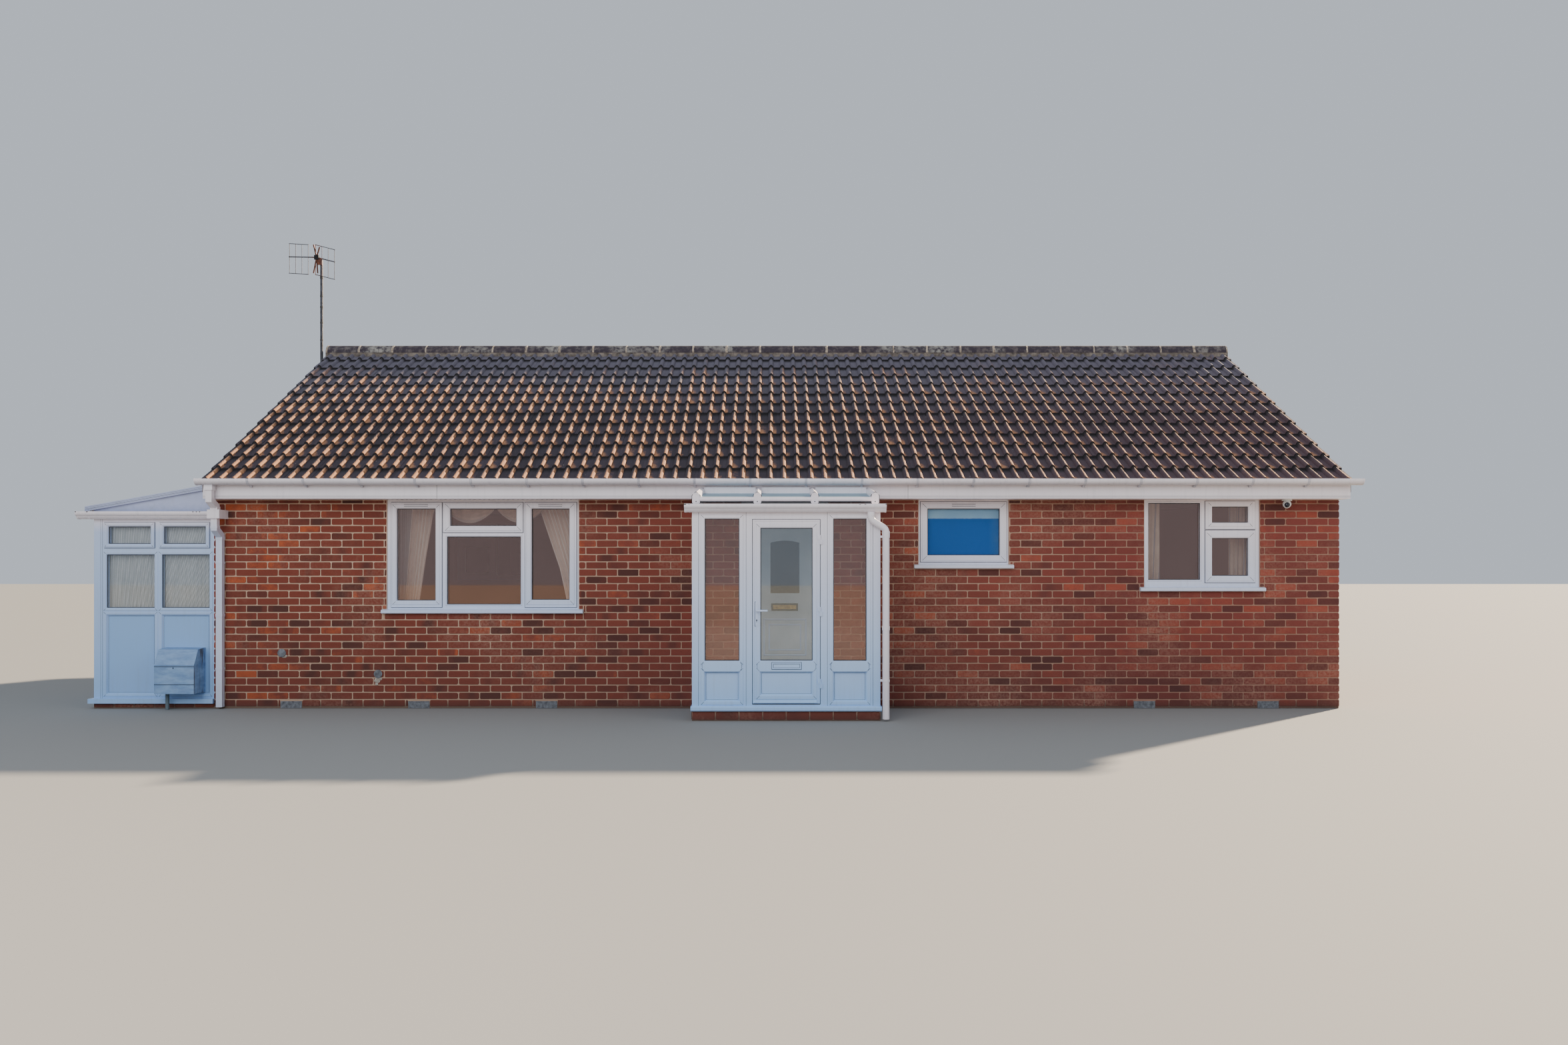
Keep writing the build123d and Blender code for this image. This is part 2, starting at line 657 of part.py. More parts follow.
def hinge_halves(x, y, heights, out, frame_side):
    """Stacked knuckles on one pin line: the lower on the frame, the upper on the leaf.

    out is the way from the leaf's face to the pin, frame_side the way from the pin to the frame.
    """
    frame_half = None
    leaf_half = None
    gap = DOOR_CLEAR / 2
    face = y - out * HINGE_OUT
    depth = sorted((face, y + out * 2))
    plate = sorted((x + frame_side * gap, x + frame_side * HINGE_PLATE))
    flap = sorted((x, x - frame_side * HINGE_PLATE))
    for z in heights:
        low = Pos(x, y, z - HINGE_LENGTH / 2) * Cylinder(HINGE_RADIUS, HINGE_LENGTH)
        low += block(plate, depth, (z - HINGE_LENGTH, z))
        high = Pos(x, y, z + SEAT_GAP + HINGE_LENGTH / 2) * Cylinder(HINGE_RADIUS, HINGE_LENGTH)
        high += block(flap, depth, (z + SEAT_GAP, z + SEAT_GAP + HINGE_LENGTH))
        frame_half = low if frame_half is None else frame_half + low
        leaf_half = high if leaf_half is None else leaf_half + high
    return frame_half, leaf_half


def porch_door_hinges():
    heights = [DOOR_Z[0] + 200, (DOOR_Z[0] + DOOR_Z[1]) / 2, DOOR_Z[1] - 200]
    return hinge_halves(DOOR_X[1] + DOOR_CLEAR / 2, PORCH_FRONT - HINGE_OUT, heights, -1, 1)


def side_lights():
    return [PORCH_LIGHT_LEFT, PORCH_LIGHT_RIGHT]


def door_hole():
    x = (DOOR_X[0] - DOOR_CLEAR, DOOR_X[1] + DOOR_CLEAR)
    z = (DOOR_Z[0] - DOOR_CLEAR, DOOR_Z[1] + DOOR_CLEAR)
    return x, z


def make_porch_front():
    """Front frame with a door opening and stops, two lights over two panels, and shaped mid rails."""
    y = (PORCH_FRONT, PORCH_FRONT + PORCH_FRAME)
    frame = block(PORCH_X, y, (PORCH_SILL_TOP, PORCH_HEAD))
    hole_x, hole_z = door_hole()
    leaf_back = PORCH_FRONT + DOOR_THICK + DOOR_CLEAR
    frame -= block(hole_x, (y[0] - 1, leaf_back), hole_z)
    stop_x = (DOOR_X[0] + DOOR_STOP, DOOR_X[1] - DOOR_STOP)
    frame -= block(stop_x, (leaf_back - 1, y[1] + 1), (DOOR_Z[0] + DOOR_STOP, DOOR_Z[1] - DOOR_STOP))
    for light in side_lights():
        frame -= block(light, (y[0] - 1, y[1] + 1), (PORCH_RAIL[1], PORCH_LIGHT_TOP))
        frame -= block(light, (y[0] - 1, y[1] + 1), (PORCH_PANEL_FOOT, PORCH_RAIL[0]))
        rail = block((light[0] - RAIL_WIDE, light[1] + RAIL_WIDE), (y[0] - RAIL_PROUD, y[0]), PORCH_RAIL)
        front = rail.faces().sort_by(Axis.Y)[0]
        frame += chamfer(front.edges(), RAIL_BEVEL)
    save("porch_front_frame", frame + porch_door_hinges()[0])


def porch_side(x):
    """Side frame from the front frame back to the house, closed up to the sloping roof."""
    y = (PORCH_FRONT + PORCH_FRAME, FRONT)
    frame = block(x, y, (PORCH_SILL_TOP, PORCH_HEAD))
    hole_y = side_hole_y()
    frame -= block((x[0] - 1, x[1] + 1), hole_y, (PORCH_RAIL[1], PORCH_LIGHT_TOP))
    frame -= block((x[0] - 1, x[1] + 1), hole_y, (PORCH_PANEL_FOOT, PORCH_RAIL[0]))
    return frame


def side_hole_y():
    return (PORCH_FRONT + PORCH_FRAME + PORCH_SIDE_STILES[0], FRONT - PORCH_SIDE_STILES[1])


def porch_side_x():
    return [(PORCH_X[0], PORCH_X[0] + PORCH_POST), (PORCH_X[1] - PORCH_POST, PORCH_X[1])]


def roof_line(y):
    """Underside of the porch roof bars."""
    return PORCH_HEAD + (y - PORCH_FRONT) * PORCH_SLOPE


def make_porch_sides():
    fill = [(PORCH_FRONT, PORCH_HEAD), (FRONT, PORCH_HEAD), (FRONT, SOFFIT_UNDER - 1)]
    fill += [(FASCIA, min(roof_line(FASCIA), SOFFIT_UNDER - 1))]
    save("porch_side_frames", *[porch_side(x) + prism_x(fill, x) for x in porch_side_x()])


def make_porch_infill():
    """Insulated panels below the mid rails and double glazing above."""
    mid = PORCH_FRONT + (PORCH_FRAME - PANEL_THICK) / 2
    panels = []
    panes = []
    for light in side_lights():
        panels.append(block(light, (mid, mid + PANEL_THICK), (PORCH_PANEL_FOOT, PORCH_RAIL[0])))
        panes.append(block(light, (mid, mid + PANEL_THICK), (PORCH_RAIL[1], PORCH_LIGHT_TOP)))
    for x in porch_side_x():
        side = ((x[0] + x[1] - PANEL_THICK) / 2, (x[0] + x[1] + PANEL_THICK) / 2)
        panels.append(block(side, side_hole_y(), (PORCH_PANEL_FOOT, PORCH_RAIL[0])))
        panes.append(block(side, side_hole_y(), (PORCH_RAIL[1], PORCH_LIGHT_TOP)))
    save("porch_panels", *panels)
    save("porch_glass", *panes)


def bar_outline(x):
    """Glazing bar: stem under the sheet, web between sheets, cap with a low peak."""
    stem, web, cap = BAR_STEM / 2, BAR_WEB / 2, BAR_WIDTH / 2
    low = [(-stem, 0), (stem, 0), (stem, BAR_DROP), (web, BAR_DROP), (web, BAR_DROP + SHEET)]
    shoulder = BAR_DROP + SHEET
    top = shoulder + BAR_CAP
    right = [(cap, shoulder), (cap, top), (0, top + BAR_PEAK)]
    left = [(-cap, top), (-cap, shoulder), (-web, shoulder), (-web, BAR_DROP), (-stem, BAR_DROP)]
    return [(x + a, b) for a, b in low + right + left]


def sloped(shape):
    """Tips a roof piece, drawn level from the porch front backwards, to the porch roof's fall."""
    angle = math.degrees(math.atan(PORCH_SLOPE))
    tipped = Pos(0, PORCH_FRONT, PORCH_HEAD) * Rot(angle, 0, 0) * shape
    behind = block((-HALF, HALF), (FASCIA, FRONT), (0, RIDGE_RADIUS + tile_top(0)))
    return tipped - behind


def make_porch_roof():
    run = FASCIA - PORCH_FRONT + BAR_RUN_ON
    bars = [sloped(prism_y(bar_outline(x), (0, run))) for x in PORCH_BAR_X]
    save("porch_roof_bars", *bars)
    sheets = []
    trims = []
    web = BAR_WEB / 2
    for left, right in zip(PORCH_BAR_X, PORCH_BAR_X[1:]):
        span = (left + web, right - web)
        sheets.append(sloped(block(span, (NOSE_DEEP, run), (BAR_DROP, BAR_DROP + SHEET))))
        between = (left + BAR_WIDTH / 2, right - BAR_WIDTH / 2)
        nose_z = (BAR_DROP - NOSE_PAST[0], BAR_DROP + SHEET + NOSE_PAST[1])
        trims.append(sloped(block(between, (0, NOSE_DEEP), nose_z)))
        wall_bar = block(between, (FASCIA - WALL_BAR[0], FASCIA), (roof_line(FASCIA), WALL_BAR[1]))
        under = sloped(block(between, (0, run), (-PORCH_OUT, BAR_DROP + SHEET)))
        trims.append(wall_bar - under)
    save("porch_roof_sheets", *sheets)
    save("porch_roof_trims", *trims)


def ogee_outline(x, inset):
    """Ogee section with its back at y 0 and its rim at z 0, drawn in by a wall's thickness."""
    back, foot = -inset, inset - OGEE_HIGH
    low, hollow, turn, swell = [(x, -out, foot + up) for out, up in OGEE_FACE]
    hollow = (x, hollow[1] + inset * 0.7, hollow[2])
    turn = (x, turn[1] + inset, turn[2])
    swell = (x, swell[1] + inset, swell[2])
    lip = (x, inset - OGEE_LIP, -OGEE_LIP_HIGH)
    floor = Line((x, back, foot), low)
    face = ThreePointArc(low, hollow, turn) + ThreePointArc(turn, swell, lip)
    rim = Polyline(lip, (x, lip[1], 0), (x, back, 0), (x, back, foot))
    return make_face(floor + face + rim)


def ogee_bar(length, thick):
    """Ogee gutter trough running along X."""
    outer = extrude(ogee_outline(length[0], 0), amount=length[1] - length[0], dir=(1, 0, 0))
    inside_length = length[1] - length[0] - 2 * thick
    inner = extrude(ogee_outline(length[0] + thick, thick), amount=inside_length, dir=(1, 0, 0))
    return outer - inner


def make_porch_gutter():
    span = (PORCH_X[0] - PORCH_GUTTER_PAST[0], PORCH_X[1] + PORCH_GUTTER_PAST[1])
    save("porch_gutter", Pos(0, PORCH_FRONT, PORCH_RIM) * ogee_bar(span, GUTTER_WALL))
    top_y, wall_y = [PORCH_FRONT - out for out in PORCH_PIPE_OUT]
    side = PORCH_X[1] + PORCH_PIPE_SIDE
    top, upper, lower = PORCH_PIPE_Z
    points = [(PORCH_PIPE_X, top_y, top), (PORCH_PIPE_X, top_y, upper), (side, wall_y, lower)]
    route = FilletPolyline(*points, (side, wall_y, PIPE_FOOT), radius=PORCH_PIPE_BEND)
    start = Plane(origin=points[0], z_dir=(0, 0, -1))
    ring = Circle(PORCH_PIPE_RADIUS) - Circle(PORCH_PIPE_RADIUS - PIPE_WALL)
    save("porch_downpipe", sweep(start * ring, path=route))
    return [porch_clip(side, wall_y, z) for z in PORCH_CLIPS_Z]


def porch_clip(x, y, z):
    """Round strap with a stem to the side of the porch's corner post."""
    inner = PORCH_PIPE_RADIUS + SEAT_GAP
    strap = Cylinder(inner + BRACKET_THICK, CLIP_TALL)
    half = CLIP_TALL / 2
    stem = block((PORCH_X[1] - x, 0), (inner - half, inner + half), (-half, half))
    return Pos(x, y, z) * (strap + stem - Cylinder(inner, CLIP_TALL))


# Doors
def make_porch_door():
    """Outer leaf: stiles and rails round a tall light, a shaped mid rail and a low panel."""
    y = (PORCH_FRONT, PORCH_FRONT + DOOR_THICK)
    leaf = block(DOOR_X, y, DOOR_Z)
    mid = PORCH_FRONT + (DOOR_THICK - PANEL_THICK) / 2
    leaf -= block(DOOR_GLASS_X, (y[0] - 1, y[1] + 1), DOOR_GLASS_Z)
    leaf -= block(DOOR_GLASS_X, (y[0] - 1, mid), DOOR_PANEL_Z)
    leaf -= block(DOOR_GLASS_X, (mid + PANEL_THICK, y[1] + 1), DOOR_PANEL_Z)
    rail_x = (DOOR_GLASS_X[0] - RAIL_WIDE, DOOR_GLASS_X[1] + RAIL_WIDE)
    rail = block(rail_x, (y[0] - RAIL_PROUD, y[0]), (DOOR_PANEL_Z[1], DOOR_GLASS_Z[0]))
    front = rail.faces().sort_by(Axis.Y)[0]
    leaf += chamfer(front.edges(), RAIL_BEVEL)
    plate = block(LETTER_X, (y[0] - 2 * RAIL_PROUD, y[0] - RAIL_PROUD), LETTER_Z)
    front = plate.faces().sort_by(Axis.Y)[0]
    leaf += chamfer(front.edges(), LETTER_BEVEL)
    save("porch_door", leaf + porch_door_hinges()[1])
    save("porch_door_glass", block(DOOR_GLASS_X, (mid, mid + PANEL_THICK), DOOR_GLASS_Z))
    half, thick, corner = HANDLE_PLATE
    plate_z = (HANDLE_Z - HANDLE_PLATE_Z[0], HANDLE_Z + HANDLE_PLATE_Z[1])
    back = block((HANDLE_X - half, HANDLE_X + half), (y[0] - thick, y[0]), plate_z)
    back = fillet(back.edges().filter_by(Axis.Y), corner)
    radius, reach = HANDLE_STEM
    middle = Pos(HANDLE_X, y[0] - (reach + thick) / 2, HANDLE_Z)
    spindle = middle * Rot(90, 0, 0) * Cylinder(radius, reach - thick)
    thin, long, round_edge = HANDLE_LEVER
    lever_y = [y[0] - out for out in HANDLE_LEVER_Y]
    lever = block((HANDLE_X - thin, HANDLE_X + long), lever_y, (HANDLE_Z - thin, HANDLE_Z + thin))
    lever = fillet(lever.edges().filter_by(Axis.X), round_edge)
    save("porch_door_handle", back + spindle + lever)


def entry_frame_y():
    return (FRONT + ENTRY_INSET, FRONT + ENTRY_INSET + ENTRY_DEPTH)


def arch_pane(y, grow=0.0):
    """Tall light with a shallow arched head."""
    middle = (ENTRY_X[0] + ENTRY_X[1]) / 2
    half = ENTRY_PANE_WIDTH / 2 + grow
    low = ENTRY_PANE_Z[0] - grow
    spring = ENTRY_PANE_Z[1] - ENTRY_PANE_RISE + grow
    crown = ENTRY_PANE_Z[1] + grow
    head = ThreePointArc((middle + half, y[0], spring), (middle, y[0], crown), (middle - half, y[0], spring))
    left = [(middle - half, y[0], spring), (middle - half, y[0], low)]
    sides = Polyline(*left, (middle + half, y[0], low), (middle + half, y[0], spring))
    return extrude(make_face(head + sides), amount=y[1] - y[0], dir=(0, 1, 0))


def make_inner_door():
    """Front door in its frame, flush with the frame's inner face so that it opens inwards."""
    frame_y = entry_frame_y()
    frame = block(ENTRY_X, frame_y, (FLOOR_TOP, SOFFIT_UNDER))
    hole_x = (ENTRY_X[0] + ENTRY_FRAME, ENTRY_X[1] - ENTRY_FRAME)
    hole_z = (FLOOR_TOP + ENTRY_SADDLE, SOFFIT_UNDER - ENTRY_FRAME)
    leaf_y = (frame_y[1] - ENTRY_LEAF, frame_y[1])
    frame -= block(hole_x, (leaf_y[0] - DOOR_CLEAR, frame_y[1] + 1), hole_z)
    stop_x = (hole_x[0] + DOOR_STOP + DOOR_CLEAR, hole_x[1] - DOOR_STOP - DOOR_CLEAR)
    frame -= block(stop_x, (frame_y[0] - 1, frame_y[1] + 1), (hole_z[0], hole_z[1] - DOOR_STOP - DOOR_CLEAR))
    leaf_x = (hole_x[0] + DOOR_CLEAR, hole_x[1] - DOOR_CLEAR)
    leaf_z = (hole_z[0] + DOOR_CLEAR, hole_z[1] - DOOR_CLEAR)
    heights = [leaf_z[0] + 200, (leaf_z[0] + leaf_z[1]) / 2, leaf_z[1] - 200]
    pin_x = leaf_x[1] + DOOR_CLEAR / 2
    frame_hinge, leaf_hinge = hinge_halves(pin_x, leaf_y[1] + HINGE_OUT, heights, 1, 1)
    save("inner_door_frame", frame + frame_hinge)
    leaf = block(leaf_x, leaf_y, leaf_z)
    middle = (ENTRY_X[0] + ENTRY_X[1]) / 2
    leaf += arch_pane((leaf_y[0] - ENTRY_TRIM, leaf_y[0]), ENTRY_TRIM_WIDE)
    leaf -= arch_pane((leaf_y[0] - 2 * ENTRY_TRIM, leaf_y[1] + 1))
    panel_x = (middle - ENTRY_PANEL_WIDTH / 2, middle + ENTRY_PANEL_WIDTH / 2)
    panel = block(panel_x, (leaf_y[0] - ENTRY_TRIM, leaf_y[0]), ENTRY_PANEL_Z)
    front = panel.faces().sort_by(Axis.Y)[0]
    leaf += chamfer(front.edges(), ENTRY_TRIM_BEVEL)
    save("inner_door", leaf + leaf_hinge)
    glass = [leaf_y[0] + deep for deep in ENTRY_GLASS]
    save("inner_door_glass", arch_pane(glass))


# Side porch
def side_roof_top(x):
    return SIDE_ROOF_LEFT_TOP + (x - SIDE_LEFT + SIDE_ROOF_PAST) * SIDE_SLOPE


def side_vent_x():
    return [(a + SIDE_VENT_INSET, b - SIDE_VENT_INSET * 2) for a, b in SIDE_LIGHT_X]


def side_front(y):
    """Front frame of the side porch: panels, fixed lights and top vents, two bays wide."""
    frame = block((SIDE_LEFT, -HALF), y, (SIDE_SILL_TOP, SIDE_HEAD))
    through = (y[0] - 1, y[1] + 1)
    for light, vent in zip(SIDE_LIGHT_X, side_vent_x()):
        frame -= block(light, through, SIDE_PANEL_Z)
        frame -= block(light, through, SIDE_LIGHT_Z)
        frame -= block(vent, through, SIDE_VENT_Z)
        outer_x = (vent[0] - SIDE_SASH_RIM, vent[1] + SIDE_SASH_RIM)
        outer_z = (SIDE_VENT_Z[0] - SIDE_SASH_RIM, SIDE_VENT_Z[1] + SIDE_SASH_RIM)
        frame += bevelled_sash(outer_x, outer_z, vent, SIDE_VENT_Z, (y[0] - SASH_PROUD, y[0]))
    return frame


def side_wall_holes():
    """Bays of the long side, as wide as the front's."""
    first = FRONT + SIDE_FRAME + SIDE_STILE / 2
    last = FRONT + SIDE_DEPTH - SIDE_FRAME - SIDE_STILE / 2
    pitch = (last - first + SIDE_STILE) / SIDE_BAYS
    return [(first + n * pitch, first + (n + 1) * pitch - SIDE_STILE) for n in range(SIDE_BAYS)]


def make_side_porch():
    back = FRONT + SIDE_DEPTH
    front_y = (FRONT, FRONT + SIDE_FRAME)
    rear_y = (back - SIDE_FRAME, back)
    front = side_front(front_y)
    rear = mirror(front, about=Plane.XZ.offset(-(FRONT + SIDE_DEPTH / 2)))
    long_x = (SIDE_LEFT, SIDE_LEFT + SIDE_FRAME)
    side = block(long_x, (front_y[1], rear_y[0]), (SIDE_SILL_TOP, SIDE_HEAD))
    through = (long_x[0] - 1, long_x[1] + 1)
    for bay in side_wall_holes():
        side -= block(through, bay, SIDE_PANEL_Z)
        side -= block(through, bay, SIDE_LIGHT_Z)
        side -= block(through, bay, SIDE_VENT_Z)
    save("side_porch_frame", front + rear + side)
    make_side_infill(front_y, rear_y, long_x)
    make_side_roof(back)
    make_side_gutter(back)


def make_side_infill(front_y, rear_y, long_x):
    mid = (SIDE_FRAME - PANEL_THICK) / 2
    walls = [(front_y[0] + mid, front_y[1] - mid), (rear_y[0] + mid, rear_y[1] - mid)]
    panels = []
    panes = []
    for y in walls:
        for light, vent in zip(SIDE_LIGHT_X, side_vent_x()):
            panels.append(block(light, y, SIDE_PANEL_Z))
            panes.append(block(light, y, SIDE_LIGHT_Z))
            panes.append(block(vent, y, SIDE_VENT_Z))
    x = (long_x[0] + mid, long_x[1] - mid)
    for bay in side_wall_holes():
        panels.append(block(x, bay, SIDE_PANEL_Z))
        panes.append(block(x, bay, SIDE_LIGHT_Z))
        panes.append(block(x, bay, SIDE_VENT_Z))
    save("side_porch_panels", *panels)
    save("side_porch_glass", *panes)
    net_y = (front_y[1], front_y[1] + 8)
    save("side_porch_nets", block((long_x[1], -HALF), net_y, (SIDE_LIGHT_Z[0] - 20, SIDE_VENT_Z[1] + 20)))


def make_side_roof(back):
    left = SIDE_LEFT - SIDE_ROOF_PAST
    top = [(left, side_roof_top(left)), (-HALF, side_roof_top(-HALF))]
    under = [(x, z - SIDE_ROOF_THICK) for x, z in reversed(top)]
    save("side_porch_roof", prism_y(top + under, (FRONT, back + SIDE_ROOF_BEHIND)))
    fill = [(SIDE_LEFT, SIDE_HEAD), (-HALF, SIDE_HEAD)]
    fill += [(x, side_roof_top(x) - SIDE_ROOF_THICK) for x in (-HALF, SIDE_LEFT)]
    ends = [prism_y(fill, (FRONT, FRONT + SIDE_FRAME)), prism_y(fill, (back - SIDE_FRAME, back))]
    low = side_roof_top(SIDE_LEFT) - SIDE_ROOF_THICK
    side = [(SIDE_LEFT, SIDE_HEAD), (SIDE_LEFT + SIDE_FRAME, SIDE_HEAD)]
    side += [(SIDE_LEFT + SIDE_FRAME, low + SIDE_FRAME * SIDE_SLOPE), (SIDE_LEFT, low)]
    fill = ends[0] + ends[1] + prism_y(side, (FRONT + SIDE_FRAME, back - SIDE_FRAME))
    edge_out, edge_below, edge_clear = SIDE_EDGE
    edge_right = -VERGE - edge_clear
    rim = [(left, side_roof_top(left)), (edge_right, side_roof_top(edge_right))]
    rim += [(x, z - SIDE_ROOF_THICK - edge_below) for x, z in reversed(rim)]
    save("side_porch_gable_fill", fill + prism_y(rim, (FRONT - edge_out, FRONT)))


def make_side_gutter(back):
    front_x = (SIDE_LEFT - SIDE_GUTTER_PAST, PIPE_LEFT_X - HOPPER_HALF[0])
    front = Pos(0, FRONT, SIDE_RIM) * ogee_bar(front_x, GUTTER_WALL)
    side = Rot(0, 0, -90) * ogee_bar((-back, -FRONT), GUTTER_WALL)
    side = Pos(SIDE_LEFT, 0, SIDE_RIM) * side
    y = hopper_y()
    hopper_x = (PIPE_LEFT_X - HOPPER_HALF[0], PIPE_LEFT_X + HOPPER_HALF[0])
    hopper = block(hopper_x, (y - HOPPER_HALF[1], FRONT - 1), HOPPER_Z)
    thick = HOPPER_WALL
    inner_x = (hopper_x[0] + thick, hopper_x[1] - thick)
    inner_y = (y - HOPPER_HALF[1] + thick, FRONT - 1 - thick)
    hopper -= block(inner_x, inner_y, (HOPPER_Z[0] + thick, HOPPER_Z[1] - thick))
    save("side_porch_gutter", front + hopper, side)


# Small things
def make_meter_box():
    back, front = FRONT + (SIDE_FRAME - PANEL_THICK) / 2, FRONT - METER_DEPTH
    low, high = METER_Z
    outline = [(back, low), (front, low), (front, high - METER_LID)]
    outline += [(front + METER_TOP[0], high - METER_TOP[1]), (back, high)]
    box = prism_x(outline, METER_X)
    groove_z = (high - METER_LID - METER_GROOVE[1], high - METER_LID)
    groove = block((METER_X[0] - 1, METER_X[1] + 1), (front - 1, front + METER_GROOVE[0]), groove_z)
    box -= groove
    post_x = (METER_X[0] + METER_X[1]) / 2 - METER_POST[0]
    post = Pos(post_x, FRONT - METER_DEPTH / 2, low / 2) * Cylinder(METER_POST[1], low)
    save("meter_box", box + post)


def make_security_camera():
    y = FRONT - CAMERA_OUT
    base = Pos(CAMERA_X, y, SOFFIT_UNDER - CAMERA_BASE[1] / 2) * Cylinder(*CAMERA_BASE)
    ball = Pos(CAMERA_X, y, SOFFIT_UNDER - CAMERA_BALL[1]) * Sphere(CAMERA_BALL[0])
    save("security_camera", base + ball)


def make_air_bricks():
    """Grilles in the lowest course, set against the wall face."""
    width, height = AIR_BRICK
    tall, pitch, deep = AIR_BRICK_SLOT
    face = FRONT - AIR_BRICK_PROUD
    bricks = []
    for x in AIR_BRICKS_X:
        brick = block((x - width / 2, x + width / 2), (face, FRONT), (AIR_BRICK_FOOT, height))
        slot_x = (x - width / 2 + AIR_BRICK_BORDER, x + width / 2 - AIR_BRICK_BORDER)
        for row in range(AIR_BRICK_SLOTS):
            z = AIR_BRICK_BORDER + row * pitch
            brick -= block(slot_x, (face - 1, face + deep), (z, z + tall))
        bricks.append(brick)
    save("air_bricks", *bricks)


def rod(start, end, radius):
    """Straight round bar between two points."""
    line = Vector(*end) - Vector(*start)
    middle = (Vector(*start) + Vector(*end)) * 0.5
    return Plane(origin=middle, z_dir=line) * Cylinder(radius, line.length)


def make_mast():
    """Tube on two wall brackets beside the ridge end."""
    y = MAST_BEHIND_RIDGE
    length = MAST_TOP - MAST_FOOT
    tube = Pos(MAST_X, y, (MAST_TOP + MAST_FOOT) / 2) * Cylinder(MAST_RADIUS, length)
    thick, wide, below, above = MAST_PLATE
    for up in MAST_BRACKETS_UP:
        z = MAST_FOOT + up
        tube += block((MAST_X, -HALF), (y - MAST_ARM / 2, y + MAST_ARM / 2), (z, z + MAST_ARM))
        tube += block((-HALF - thick, -HALF), (y - wide / 2, y + wide / 2), (z - below, z + above))
        tube += Pos(MAST_X, y, z + MAST_ARM / 2) * Cylinder(MAST_RADIUS + MAST_CLAMP, MAST_ARM)
    save("aerial_mast", tube)


def make_aerial_head():
    """Two ladders of rods on thick booms either side of a crossed reflector."""
    y = MAST_BEHIND_RIDGE - MAST_RADIUS - AERIAL_OUT
    centre = (MAST_X + AERIAL_HUB[0], y, MAST_TOP + AERIAL_HUB[1])
    head = Pos(*centre) * Box(*AERIAL_HUB_SIZE)
    clamp_x = [MAST_X + side for side in AERIAL_CLAMP_X]
    clamp_z = [MAST_TOP + up for up in AERIAL_CLAMP_Z]
    head += block(clamp_x, (y - AERIAL_OUT + 2, y + AERIAL_OUT), clamp_z)
    for root, tip, above, below in AERIAL_WINGS:
        boom_ends = [(centre[0] + a, y, centre[2] + b) for a, b in (root, tip)]
        head += rod(centre, boom_ends[1], AERIAL_BOOM)
        for rise in (above, -below):
            head += rod(*[(px, py, pz + rise) for px, py, pz in boom_ends], AERIAL_OUTER_ROD)
        for n in range(AERIAL_RODS):
            share = n / (AERIAL_RODS - 1) * (1 - 2 * AERIAL_ROD_MARGIN) + AERIAL_ROD_MARGIN
            x, z = [a + (b - a) * share for a, b in zip(boom_ends[0][::2], boom_ends[1][::2])]
            head += rod((x, y, z - below), (x, y, z + above), AERIAL_ROD)
    for x, z in AERIAL_REFLECTOR:
        head += rod(centre, (centre[0] + x, y, centre[2] + z), AERIAL_ARM)
    save("aerial_head", head)


make_walls()
make_floor_and_ceiling()
make_roof()
make_eaves()
make_windows()
make_curtains()
make_porch_bases()
make_porch_front()
make_porch_sides()
make_porch_infill()
make_porch_roof()
save("pipe_clips", *make_downpipes(), *make_porch_gutter())
make_porch_door()
make_inner_door()
make_side_porch()
make_meter_box()
make_security_camera()
make_air_bricks()
make_mast()
make_aerial_head()
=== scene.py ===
"""Looks of a brick bungalow with a glazed front porch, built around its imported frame.

Metres. X runs along the front from the middle of the house, Y runs back, Z is up from the ground.
Every new surface is worked out with numpy as whole arrays; each function says its formula in words.
"""

import math

import bpy
import numpy as np
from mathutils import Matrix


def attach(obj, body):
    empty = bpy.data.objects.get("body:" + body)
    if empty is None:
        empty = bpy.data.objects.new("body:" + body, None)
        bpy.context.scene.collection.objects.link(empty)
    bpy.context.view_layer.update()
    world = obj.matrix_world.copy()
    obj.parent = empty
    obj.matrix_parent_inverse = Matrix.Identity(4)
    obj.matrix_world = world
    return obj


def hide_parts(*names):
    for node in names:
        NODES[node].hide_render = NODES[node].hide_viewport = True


bl_info = {
    "name": "Brick bungalow finishes",
    "version": (1, 0, 0),
    "blender": (4, 5, 0),
    "location": "View3D > Sidebar > Bungalow",
    "description": "Brickwork, tiles, windows, porches and hangings around a packed bungalow",
    "category": "Object",
}

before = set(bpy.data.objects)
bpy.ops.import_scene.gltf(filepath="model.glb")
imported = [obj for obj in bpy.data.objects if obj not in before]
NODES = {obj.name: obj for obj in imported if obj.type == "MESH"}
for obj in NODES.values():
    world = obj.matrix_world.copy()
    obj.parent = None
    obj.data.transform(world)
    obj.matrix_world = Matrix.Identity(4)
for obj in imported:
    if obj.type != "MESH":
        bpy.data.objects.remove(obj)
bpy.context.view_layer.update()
SIDES = ("front", "right", "rear", "left")

# Body of the house, as the frame has it
HALF = 6.069
DEEP = 3.43
HEAD = 2.251

# Roof and gutters
ROOF_SLOPE = 0.536
ROOF_THICK = 0.16
INTO_ROOF = 0.01
GABLE_HIGH = 4.2
EAVES_OUT = 3.71
EAVES_TOP = 2.443
VERGE = 6.103
COURSES = 13
GAUGE = 3.71 / 12.75
TILE_STEP = 0.022
RIDGE_GAP = 0.1
RIDGE_TILES = 27
RIDGE_RADIUS = 0.110
RIDGE_SPRING = 4.4246
FASCIA = 3.66
EAVES_END = 6.089
GUTTER_Y = -3.724
GUTTER_RADIUS = 0.058
GUTTER_RIM = 2.456
GUTTER_SPRING = 2.447
PIPE_X = -5.985
PIPE_Y = -3.4825
HOPPER_Y = -3.6

